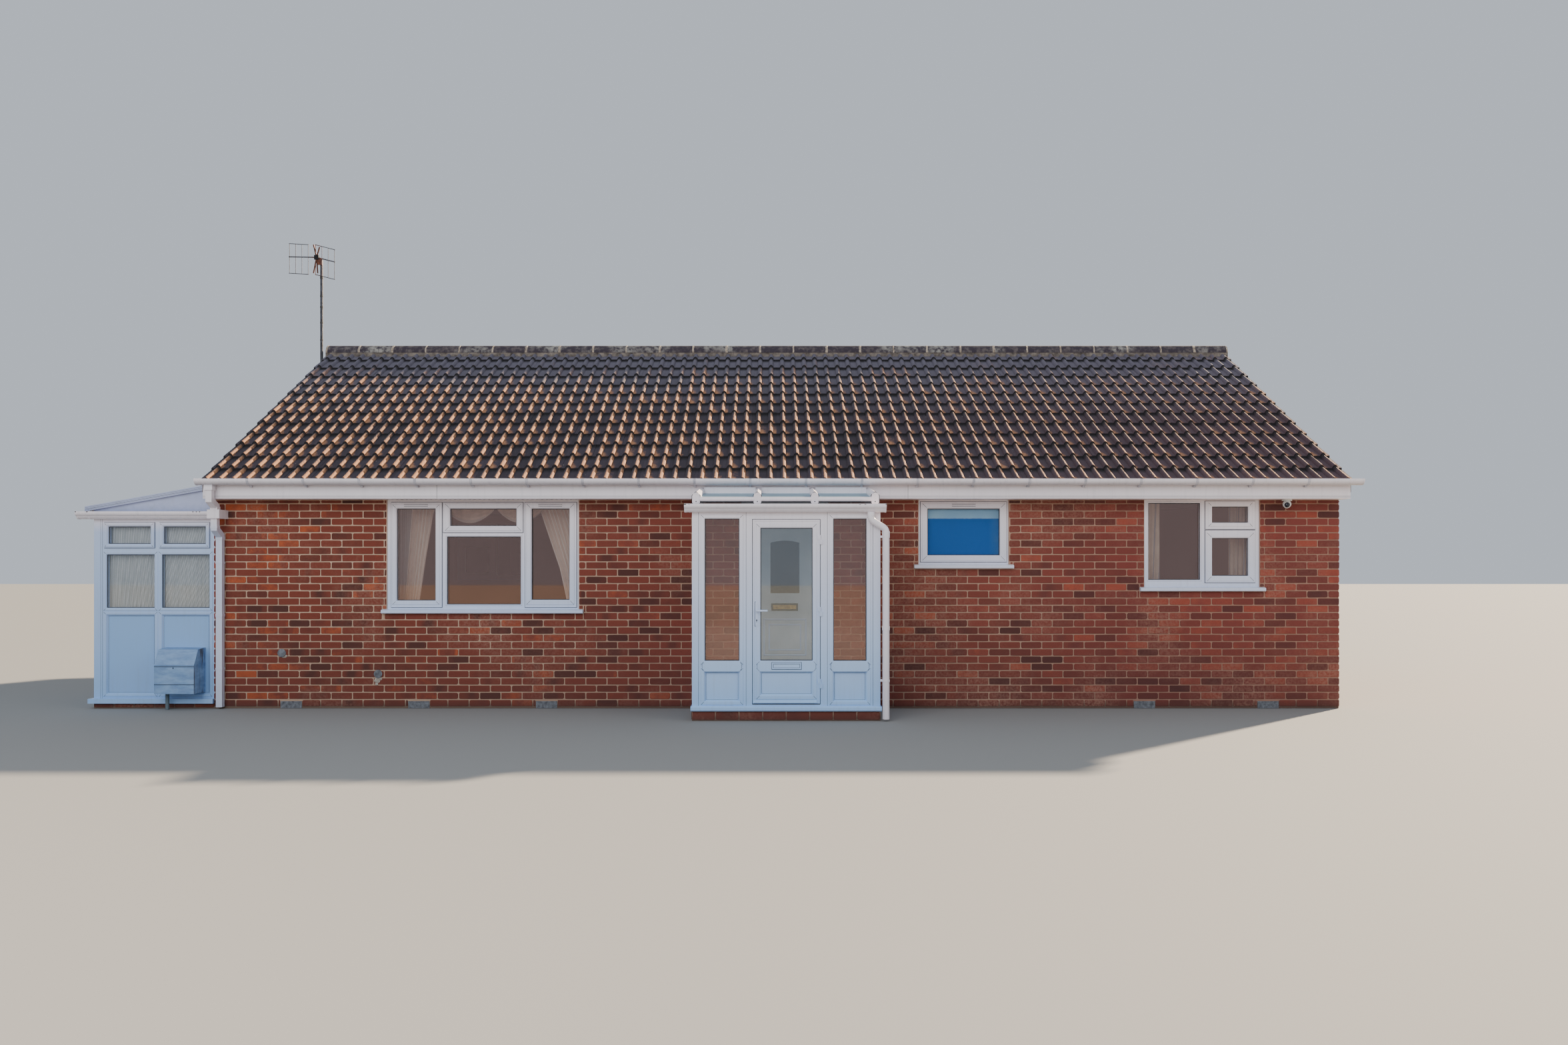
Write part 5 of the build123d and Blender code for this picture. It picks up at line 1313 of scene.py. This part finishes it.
def hanging(left, right, top, foot, y, folds, deep, seed, rows=26):
    """Cloth between two edges that are read by height, in folds that stay upright.

    Depth is a sine of the distance across, whose phase drifts, and it deepens from the head down.
    """
    rng = np.random.default_rng(seed)
    z = np.linspace(top, foot, rows)[:, None]
    u = np.linspace(0, 1, folds * 8 + 1)[None, :]
    x0, x1 = (np.interp(z, *np.array(sorted(side)).T) for side in (left, right))
    phase = rng.uniform(0, 6.28, 3)
    drift = 0.5 * np.sin(5.1 * u + phase[0]) + 0.35 * np.sin(11.3 * u + phase[1] + 0.6 * z)
    wave = np.sin(2 * np.pi * folds * u + drift + phase[2])
    share = 0.45 + 0.55 * (top - z) / (top - foot)
    x = x0 + (x1 - x0) * u + 0 * wave
    return np.stack([x, y + deep / 2 * share * wave, z + 0 * wave], axis=-1)


def swag(x0, x1, top, low, y, deep, rows=30, columns=49):
    """A swag: each crosswise fold is a parabola that hangs deeper the lower it starts, rippled."""
    v = np.linspace(0, 1, rows)[:, None]
    u = np.linspace(0, 1, columns)[None, :]
    belly = (4 * u * (1 - u)) ** 0.85
    x = x0 + (x1 - x0) * (u + 0.02 * np.sin(2 * np.pi * u) * v)
    z = top - (0.05 + (top - low - 0.05) * belly) * v ** 0.9 - 0.06 * v * (1 - belly)
    ripple = np.sin(2 * np.pi * (4.5 * v + 0.15 * np.sin(np.pi * u))) * (0.3 + 0.7 * belly)
    return np.stack([x, y + deep / 2 * ripple, z], axis=-1), v + 0 * u


class BUNGALOW_OT_hangings(bpy.types.Operator):
    """Hangs the drapes, swags, curtains, blind and nets as thin folded cloth"""

    bl_idname = "bungalow.hangings"
    bl_label = "Hangings"

    def execute(self, context):
        deep = context.scene.bungalow_cloth.fold
        living = {"slot": "drapes", "rests_on": ["curtain_rails"], "replaces": ["living_curtains"]}
        top, foot, y = 2.2895, 1.01, -3.118
        outer_left, outer_right = [(2.3, -4.02), (1.0, -4.12)], [(2.3, -2.045), (1.0, -2.045)]
        voile = [(2.3, -4.30), (1.0, -4.30)], [(2.3, -3.95), (1.0, -4.0)]
        inner_left = [(2.29, -3.70), (2.16, -3.785), (1.66, -3.87), (1.16, -3.944), (1.0, -3.96)]
        inner_right = [(2.29, -2.66), (2.16, -2.618), (1.5, -2.395), (1.2, -2.33), (1.0, -2.31)]
        for name, finish, left, right, out, folds, depth, seed in (
            ("drape_left", "drape", outer_left, inner_left, y, 6, deep, 41),
            ("voile", "voile", *voile, y + 0.011, 7, 0.006, 42),
            ("drape_right", "drape", inner_right, outer_right, y, 8, deep, 43),
        ):
            grid = hanging(left, right, top, foot, out, folds, depth, seed)
            cloth_piece(f"living_{name}", grid, finish, held="gathered", **living)
        for n, (x0, x1) in enumerate(((-3.684, -3.10), (-3.10, -2.565))):
            grid, border = swag(x0, x1, top, 2.008, y - 0.0115, 0.009)
            name = f"living_swag_{n + 1}"
            cloth_piece(name, grid, "swag", held="draped", border=border, **living)
        self.right_window(deep, top)
        self.blind()
        self.nets()
        return {"FINISHED"}

    def right_window(self, deep, top):
        rests = {"rests_on": ["curtain_rails"], "replaces": ["right_curtains"]}
        for name, x0, x1, seed in (("left", 3.915, 4.232, 44), ("right", 4.995, 5.272, 45)):
            edges = [(1, x0), (3, x0)], [(1, x1), (3, x1)]
            grid = hanging(*edges, top, 1.25, -3.12, 6, deep, seed)
            name = f"right_curtain_{name}"
            cloth_piece(name, grid, "curtain", "bedroom_curtain", held="gathered", **rests)

    def blind(self):
        """A roller blind that bows a little, with a tube in its head and a bar in its hem."""
        left, right, top, foot = 1.580, 2.458, 2.205, 1.604
        wide = 0.878
        z = np.linspace(top, foot, 24)[:, None]
        x = np.linspace(left, right, 40)[None, :]
        bow = 0.0015 * np.sin(np.pi * (x - left) / wide) * (top - z)
        grid = np.stack([x + 0 * z, bow - 3.351, z + 0 * x], axis=-1)
        bars = Shape()
        add_tube(bars, [(1.577, -3.338, 2.198), (2.461, -3.338, 2.198)], 0.012)
        add_tube(bars, [(left, -3.350, 1.600), (right, -3.350, 1.600)], 0.0045)
        rest = {"replaces": ["small_window_blind"]}
        make_piece("blind_bars", bars, "rod", "blind", smooth=40, **rest)
        rest |= {"slot": "blind", "held": "hung", "rests_on": ["blind_bars"]}
        cloth_piece("roller_blind", grid, "blind", thick=0.0008, **rest)

    def nets(self):
        edges = [(1, -7.306), (3, -7.306)], [(1, -6.075), (3, -6.075)]
        grid = hanging(*edges, 1.980, 1.066, -3.352, 30, 0.020, 46, rows=14)
        rests = {"rests_on": ["side_porch_frame"], "replaces": ["side_porch_nets"]}
        cloth_piece("side_porch_net", grid, "net", "net", "gathered", thick=0.0008, **rests)


# Section of the ogee gutters: how far out and how far up from their foot
OGEE_HIGH = 0.081
OGEE = [
    (0, 0), (0.046, 0), (0.057, 0.005), (0.064, 0.013), (0.067, 0.022), (0.071, 0.030),
    (0.078, 0.034), (0.087, 0.039), (0.093, 0.046), (0.097, 0.055), (0.100, 0.069),
    (0.100, OGEE_HIGH), (0, OGEE_HIGH),
]


def add_ogee_band(shape, x, wide, wall, rim, grow=0.0022):
    """A band round an ogee gutter: the gutter's section, a little larger, carried a short way."""
    deepest = max(out for out, up in OGEE)
    outline = []
    for out, up in OGEE:
        y = wall - min(out + grow * (out > 0), deepest)
        outline.append((y, rim - OGEE_HIGH + up + grow * (1 if up else -1)))
    return add_prism(shape, outline, x, x + wide)


def add_gutter_band(shape, x, wide, grow=0.003):
    """A band that hugs the half-round gutter: the outer arc, then the inner arc back."""
    turn = np.linspace(0, np.pi, 17)
    radii = GUTTER_RADIUS + grow, GUTTER_RADIUS + 0.0002
    arcs = []
    for r in radii:
        arc = [GUTTER_Y - r * np.cos(turn), GUTTER_SPRING - r * np.sin(turn)]
        arcs.append(np.column_stack(arc))
    ends = [[(GUTTER_Y - s * r, GUTTER_RIM + grow / 2) for r in radii] for s in (1, -1)]
    outline = np.concatenate([ends[0][::-1], arcs[0], ends[1], arcs[1][::-1]])
    return add_prism(shape, outline, x, x + wide)


class BUNGALOW_OT_eaves(bpy.types.Operator):
    """Adds gutter unions and ends, fascia grooves and joints, soffit vents and pipe collars"""

    bl_idname = "bungalow.eaves"
    bl_label = "Eaves"

    def execute(self, context):
        gutter, line, dark = Shape(), Shape(), Shape()
        for side in ("front", "rear"):
            for shape in (gutter, line):
                shape.look(side)
            for x, wide in ((-1.037, 0.095), (-6.129, 0.012), (-6.075, 0.010), (-5.875, 0.014)):
                add_gutter_band(gutter, x, wide)
            grooves = [(-EAVES_END, z, EAVES_END, z) for z in (2.266, 2.279)]
            add_lines(line, grooves, 0.0022, -FASCIA, 0.0004)
            add_lines(line, [(x, HEAD, x, 2.43) for x in (-3.606, 1.394)], 0.003, -FASCIA, 0.0005)
        spots = np.arange(-4.2, -2.14, 0.052)
        low, high = HEAD - 0.0008, HEAD + 0.0005
        add_boxes(dark, [(x, x + 0.022, -3.474, -3.464, low, high) for x in spots])
        self.collars(gutter.look("front"))
        make_piece("gutter_fittings", gutter, "gutter", "white_frame", smooth=40)
        make_piece("fascia_lines", line, "line", "white_frame")
        make_piece("soffit_vents", dark, "dark", "white_frame")
        return {"FINISHED"}

    def collars(self, shape):
        """Square sockets on the house pipe, round ones on the porch's, bands on ogee gutters."""
        for y, low, high, half in (
            (GUTTER_Y, 2.335, 2.392, 0.043),
            (HOPPER_Y, 2.134, 2.170, 0.038),
            (HOPPER_Y, 1.935, 1.962, 0.036),
            (PIPE_Y, 1.820, 1.852, 0.036),
            (PIPE_Y, 0.990, 1.022, 0.036),
        ):
            add_boxes(shape, [(PIPE_X - half, PIPE_X + half, y - half, y + half, low, high)])
        for x, y, low, high in (
            (0.935, -4.548, 2.03, 2.068),
            (1.082, -4.535, 1.835, 1.878),
            (1.082, -4.535, 0.9, 0.94),
        ):
            add_tube(shape, [(x, y, low), (x, y, high)], 0.0375, 20)
        bands = [(-0.912, 0.022), (-0.865, 0.008), (0.815, 0.012), (0.868, 0.012), (1.071, 0.012)]
        for x, wide in bands:
            add_ogee_band(shape, x, wide, PORCH_Y, PORCH_RIM)
        bands = [(-7.523, 0.014), (-7.40, 0.016), (-6.262, 0.012), (-6.225, 0.012), (-6.19, 0.012)]
        for x, wide in bands:
            add_ogee_band(shape, x, wide, -DEEP, SIDE_RIM)


class BUNGALOW_OT_front_porch(bpy.types.Operator):
    """Adds bands, beads, grooves, bar ends and the trims of both doors to the front porch"""

    bl_idname = "bungalow.front_porch"
    bl_label = "Front porch"

    def execute(self, context):
        trim = Trim()
        for light in PORCH_LIGHTS:
            add_light(trim, (*light, *PORCH_LIGHT_Z), PORCH_Y, PORCH_PANE)
            add_panel(trim, (*light, *PORCH_PANEL_Z), PORCH_Y, PORCH_PANE)
            add_rail(trim, light[0] - 0.022, light[1] + 0.022, 0.489, 0.588, PORCH_Y - 0.004)
        grooves = [(x, 0.148, x, 2.146) for x in (-0.775, -0.303, 0.504, 0.955)]
        add_lines(trim.line, grooves, 0.003, PORCH_Y, 0.0005)
        # Painted shadow in the gap round the leaf, and a wider dark line at its threshold.
        x0, x1, z0, z1 = grown(DOOR, 0.003)
        edges = [(x0, z0, x0, z1), (x1, z0, x1, z1), (x0, z1, x1, z1)]
        add_lines(trim.line, edges, 0.005, PORCH_Y, 0.0008)
        add_lines(trim.rubber, [(x0, z0, x1, z0)], 0.009, PORCH_Y, 0.001)
        returns = (("left", PORCH_X[0], (3.49, 4.39)), ("right", -PORCH_X[1], (-4.39, -3.49)))
        for side, face, span in returns:
            trim.look(side)
            add_light(trim, (*span, *PORCH_LIGHT_Z), face, face + 0.023, 0.036)
            add_panel(trim, (*span, *PORCH_PANEL_Z), face, face + 0.023, 0.036)
        self.roof_ends(trim.look("front"))
        trim.make("porch_trims")
        self.door()
        self.inner_door()
        return {"FINISHED"}

    def roof_ends(self, trim):
        """Pointed covers on the ends of the roof bars, and half-round noses between them."""
        cap = [(-24, 0), (24, 0), (38, 16), (38, 86), (0, 120), (-38, 86), (-38, 16)]
        for x in PORCH_BARS:
            # The line layer is a painted shadow outline behind each cover.
            layers = [(trim.line, 1.16, 0.002, -BITE), (trim.plastic, 1, 0.007, 0)]
            layers.append((trim.plastic, 0.86, 0.011, 0.007))
            for shape, scale, out, back in layers:
                outline = [(x + a * scale / 1000, 2.208 + (b - 60) * scale / 1000) for a, b in cap]
                add_prism(shape, outline, PORCH_Y - out, PORCH_Y - back, "y")
            add_tube(trim.line, [(x, PORCH_Y - 0.0115, 2.175), (x, PORCH_Y - 0.010, 2.175)], 0.006)
        turn = np.linspace(-np.pi / 2, np.pi / 2, 11)
        for left, right in zip(PORCH_BARS, PORCH_BARS[1:]):
            nose = np.column_stack([PORCH_Y - 0.014 * np.cos(turn), 2.198 + 0.019 * np.sin(turn)])
            add_prism(trim.plastic, nose, left + 0.033, right - 0.033)
            # Painted shadow: a dark line under each nose.
            gasket_and_shadow = (left + 0.034, 2.172, right - 0.034, 2.172)
            add_lines(trim.rubber, [gasket_and_shadow], 0.014, PORCH_Y, 0.004)

    def door(self):
        """Cover flange, bands, beads and weather bar of the leaf, its letter plate and keyhole."""
        trim = Trim()
        face = PORCH_Y
        flange = [(0.001, -BITE), (0.02, -BITE), (0.017, 0.003), (0.003, 0.003)]
        add_moulding(trim.plastic, DOOR, face, flange)
        add_light(trim, DOOR_PANE, face, face + DOOR_PANE_IN, DOOR_BAND)
        add_panel(trim, DOOR_PANEL, face, face + DOOR_PANE_IN, DOOR_BAND)
        bar = [(BITE, 0.176), (-0.018, 0.176), (-0.018, 0.184), (BITE, 0.205)]
        bar = [(face + out, z) for out, z in bar]
        add_prism(trim.plastic, bar, DOOR[0] + 0.006, DOOR[1] - 0.03)
        add_rail(trim, DOOR_PANE[0] - 0.03, DOOR_PANE[1] + 0.03, 0.489, 0.591, face - 0.004)
        # Painted shadow: dark lines round the letter plate, its flap and the handle plate.
        add_gap(trim, LETTER, face - 0.010, 0.004)
        plate = face - 0.016
        profile = [(0.001, -0.002), (0.012, -0.002), (0.009, 0.003), (0.003, 0.003)]
        add_moulding(trim.plastic, LETTER, plate, profile)
        add_gap(trim, grown(LETTER, -0.017), plate, 0.003)
        add_gap(trim, HANDLE_PLATE, face, 0.003)
        out, back = face - 0.0112, face - 0.0095
        add_tube(trim.line, [(KEYHOLE_X, out, KEYHOLE_Z), (KEYHOLE_X, back, KEYHOLE_Z)], 0.007)
        slot = (KEYHOLE_X - 0.0025, KEYHOLE_X + 0.0025, out, back, KEYHOLE_Z - 0.02, KEYHOLE_Z)
        add_boxes(trim.line, [slot])
        trim.make("porch_door_trims", "porch_door")

    def inner_door(self):
        """Rims of the entrance door's panel, and its dark letter plate with a brass flap."""
        trim = Trim()
        panel = (ENTRY_MIDDLE - 0.209, ENTRY_MIDDLE + 0.209, 0.585, 0.938)
        add_band(trim, grown(panel, 0.028), 0.02, ENTRY_Y + 0.004, 0.005)
        add_band(trim, grown(panel, -0.03), 0.018, ENTRY_Y, 0.004)
        plate, flap = Shape(), Shape()
        add_boxes(plate, [(-0.058, 0.231, ENTRY_Y - 0.004, ENTRY_Y + 0.005, 1.050, 1.130)])
        add_boxes(flap, [(-0.040, 0.213, ENTRY_Y - 0.009, ENTRY_Y - 0.0035, 1.068, 1.112)])
        trim.make("inner_door_trims", "inner_door")
        make_piece("inner_letter_plate", plate, "dark", "entry_door", "inner_door")
        make_piece("inner_letter_flap", flap, "brass", "entry_door", "inner_door")


class BUNGALOW_OT_side_porch(bpy.types.Operator):
    """Adds bands, beads, sash gaps, grooves and roof edge lines to the side porch"""

    bl_idname = "bungalow.side_porch"
    bl_label = "Side porch"

    def execute(self, context):
        trim = Trim()
        for side, face, turn in (("front", -DEEP, 1), ("rear", -SIDE_BACK, -1)):
            trim.look(side)
            for spans in zip(SIDE_LIGHTS, SIDE_VENTS):
                light, vent = (sorted(turn * x for x in span) for span in spans)
                add_light(trim, (*light, *SIDE_LIGHT_Z), face, face + SIDE_PANE_IN, 0.038)
                add_panel(trim, (*light, *SIDE_PANEL_Z), face, face + SIDE_PANE_IN, 0.038)
                hole = (*vent, *SIDE_VENT_Z)
                # Painted shadow in the gap round the vent's sash.
                add_gap(trim, grown(hole, 0.042), face, 0.005)
                add_band(trim, grown(hole, 0.039), 0.030, face - 0.012)
                add_gasket(trim, hole, face + SIDE_PANE_IN)
        trim.look("left")
        for a, b in SIDE_BAYS:
            for heights in (SIDE_LIGHT_Z, SIDE_VENT_Z):
                add_light(trim, (-b, -a, *heights), SIDE_LEFT, SIDE_LEFT + SIDE_PANE_IN, 0.028)
            add_panel(trim, (-b, -a, *SIDE_PANEL_Z), SIDE_LEFT, SIDE_LEFT + SIDE_PANE_IN, 0.028)
        trim.look("front")
        add_lines(trim.line, [(x, 0.106, x, 2.04) for x in (-7.30, -7.282)], 0.002, -DEEP, 0.0005)
        left, top, slope = SIDE_ROOF
        right = -VERGE - 0.01
        for down, wide in ((0.014, 0.002), (0.030, 0.003), (0.040, 0.0015)):
            edge = (left + 0.004, top - down, right, top - down + (right - left) * slope)
            add_lines(trim.line, [edge], wide, -DEEP - 0.03, 0.0006)
        trim.make("side_porch_trims")
        return {"FINISHED"}


class BUNGALOW_OT_small_things(bpy.types.Operator):
    """Adds the meter box's lines, the camera's eye, the wall's caps and smears, the mast's tape"""

    bl_idname = "bungalow.small_things"
    bl_label = "Small things"

    def execute(self, context):
        face = -DEEP - 0.24
        seams = [(-6.602, z, -6.177, z) for z in (0.275, 0.466)]
        lines = add_lines(Shape(), seams, 0.006, face, 0.0006)
        add_tube(lines, [(-6.399, face - 0.001, 0.452), (-6.399, face + 0.002, 0.452)], 0.007)
        make_piece("meter_box_lines", lines, "dark", "meter_grey")
        rim = add_ball(Shape(), (5.457, -3.558, 2.192), (0.039, 0.032, 0.039))
        eye = add_ball(Shape(), (5.453, -3.568, 2.190), (0.031, 0.030, 0.031))
        make_piece("camera_rim", rim, "camera", "camera_white", smooth=40)
        make_piece("camera_eye", eye, "lens", "camera_white", smooth=40)
        caps, smears = Shape(), Shape()
        for x, z in ((-5.342, 0.596), (-4.302, 0.370)):
            path = [(x, y, z) for y in (-3.430, -3.442, -3.4455)]
            add_tube(caps, path, [0.045, 0.045, 0.036], 24)
        make_piece("wall_caps", caps, "vent", "air_brick_grey", smooth=40)
        for x, z, wide, high in (
            (-5.318, 0.556, 0.030, 0.013),
            (-5.296, 0.566, 0.014, 0.010),
            (-4.312, 0.296, 0.034, 0.026),
            (-4.296, 0.318, 0.040, 0.020),
            (-4.318, 0.262, 0.018, 0.016),
        ):
            add_ball(smears, (x, -3.435, z), (wide, 0.0035, high), 8, 14)
        make_piece("mortar_smears", smears, "smear", "mortar", smooth=60)
        tape = Shape()
        bands = [(5.463, 0.03), (5.211, 0.02), (5.063, 0.02), (4.849, 0.022), (4.613, 0.018)]
        for z, high in bands:
            add_tube(tape, [(MAST_X, 0, z - high / 2), (MAST_X, 0, z + high / 2)], 0.0215, 20)
        make_piece("mast_tape", tape, "tape", "aerial_metal", smooth=40)
        return {"FINISHED"}


class BUNGALOW_OT_stage(bpy.types.Operator):
    """Sets the floor, the soft light and the camera at the photograph's place"""

    bl_idname = "bungalow.stage"
    bl_label = "Stage"

    def execute(self, context):
        scene = context.scene
        stage = scene.bungalow_stage
        f = Finish("floor", Roughness=0.95)
        f.feed(Base_Color=stage.floor[:])
        mesh = bpy.data.meshes.new("floor")
        reach = 90.0
        corners = [(x * reach, y * reach, -0.002) for x, y in ((-1, -1), (1, -1), (1, 1), (-1, 1))]
        mesh.from_pydata(corners, [], [(0, 1, 2, 3)])
        mesh.materials.append(f.material)
        floor = linked("floor", mesh)
        world = bpy.data.worlds.new("soft_sky")
        world.use_nodes = True
        background = world.node_tree.nodes["Background"]
        background.inputs["Color"].default_value = (*stage.sky[:], 1.0)
        background.inputs["Strength"].default_value = 0.75
        scene.world = world
        wall = (0.0, -3.0, 1.6)
        warm, cool, mild = (1.0, 0.80, 0.58), (0.93, 0.96, 1.0), (1.0, 0.97, 0.93)
        disc = {"angle": math.radians(2)}
        self.light("sun", "SUN", (12.7, 12.7, 8.2), (0.0, 0.0, 0.0), 18.0, warm, disc)
        self.light("front_soft", "AREA", (-7.0, -20.0, 10.0), wall, 1650, cool, {"size": 12.0})
        spot = (1.0, *wall[1:])
        self.light("right_soft", "AREA", (13.0, -14.0, 9.0), spot, 330, mild, {"size": 9.0})
        camera = bpy.data.cameras.new("camera")
        camera.lens = 28.0
        camera.sensor_width = 36.0
        camera.shift_x = 0.0047
        camera.shift_y = 0.0281
        camera.clip_end = 300.0
        eye = linked("camera", camera)
        eye.location = (0.0, -stage.back, stage.eye)
        eye.rotation_euler = (math.pi / 2, 0.0, 0.0)
        scene.camera = eye
        return {"FINISHED"}

    def light(self, name, kind, place, target, energy, colour, settings):
        """A lamp at a place, turned so that it shines at its target."""
        lamp = bpy.data.lights.new(name, kind)
        lamp.energy = energy
        lamp.color = colour
        for key, value in settings.items():
            setattr(lamp, key, value)
        holder = linked(name, lamp)
        holder.location = place
        x, y, z = np.subtract(target, place)
        holder.rotation_euler = (math.atan2(math.hypot(x, y), -z), 0.0, math.atan2(-x, y))


class BUNGALOW_PT_panel(bpy.types.Panel):
    """Lists the bungalow's pieces"""

    bl_idname = "BUNGALOW_PT_panel"
    bl_label = "Bungalow"
    bl_space_type = "VIEW_3D"
    bl_region_type = "UI"
    bl_category = "Bungalow"

    def draw(self, context):
        for operator in OPERATORS:
            self.layout.operator(operator.bl_idname)


SETTINGS = {
    "bungalow_bricks": BrickSettings,
    "bungalow_roof": RoofSettings,
    "bungalow_plastic": PlasticSettings,
    "bungalow_cloth": ClothSettings,
    "bungalow_stage": StageSettings,
}
OPERATORS = [
    BUNGALOW_OT_finishes,
    BUNGALOW_OT_brickwork,
    BUNGALOW_OT_roof_tiles,
    BUNGALOW_OT_windows,
    BUNGALOW_OT_hangings,
    BUNGALOW_OT_eaves,
    BUNGALOW_OT_front_porch,
    BUNGALOW_OT_side_porch,
    BUNGALOW_OT_small_things,
    BUNGALOW_OT_stage,
]


def register():
    for cls in [*SETTINGS.values(), *OPERATORS, BUNGALOW_PT_panel]:
        bpy.utils.register_class(cls)
    for name, cls in SETTINGS.items():
        setattr(bpy.types.Scene, name, bpy.props.PointerProperty(type=cls))


def unregister():
    for name in SETTINGS:
        delattr(bpy.types.Scene, name)
    for cls in [BUNGALOW_PT_panel, *reversed(OPERATORS), *reversed(list(SETTINGS.values()))]:
        bpy.utils.unregister_class(cls)


def main():
    register()
    for operator in OPERATORS:
        getattr(bpy.ops.bungalow, operator.bl_idname.split(".")[1])()


if __name__ == "__main__":
    main()
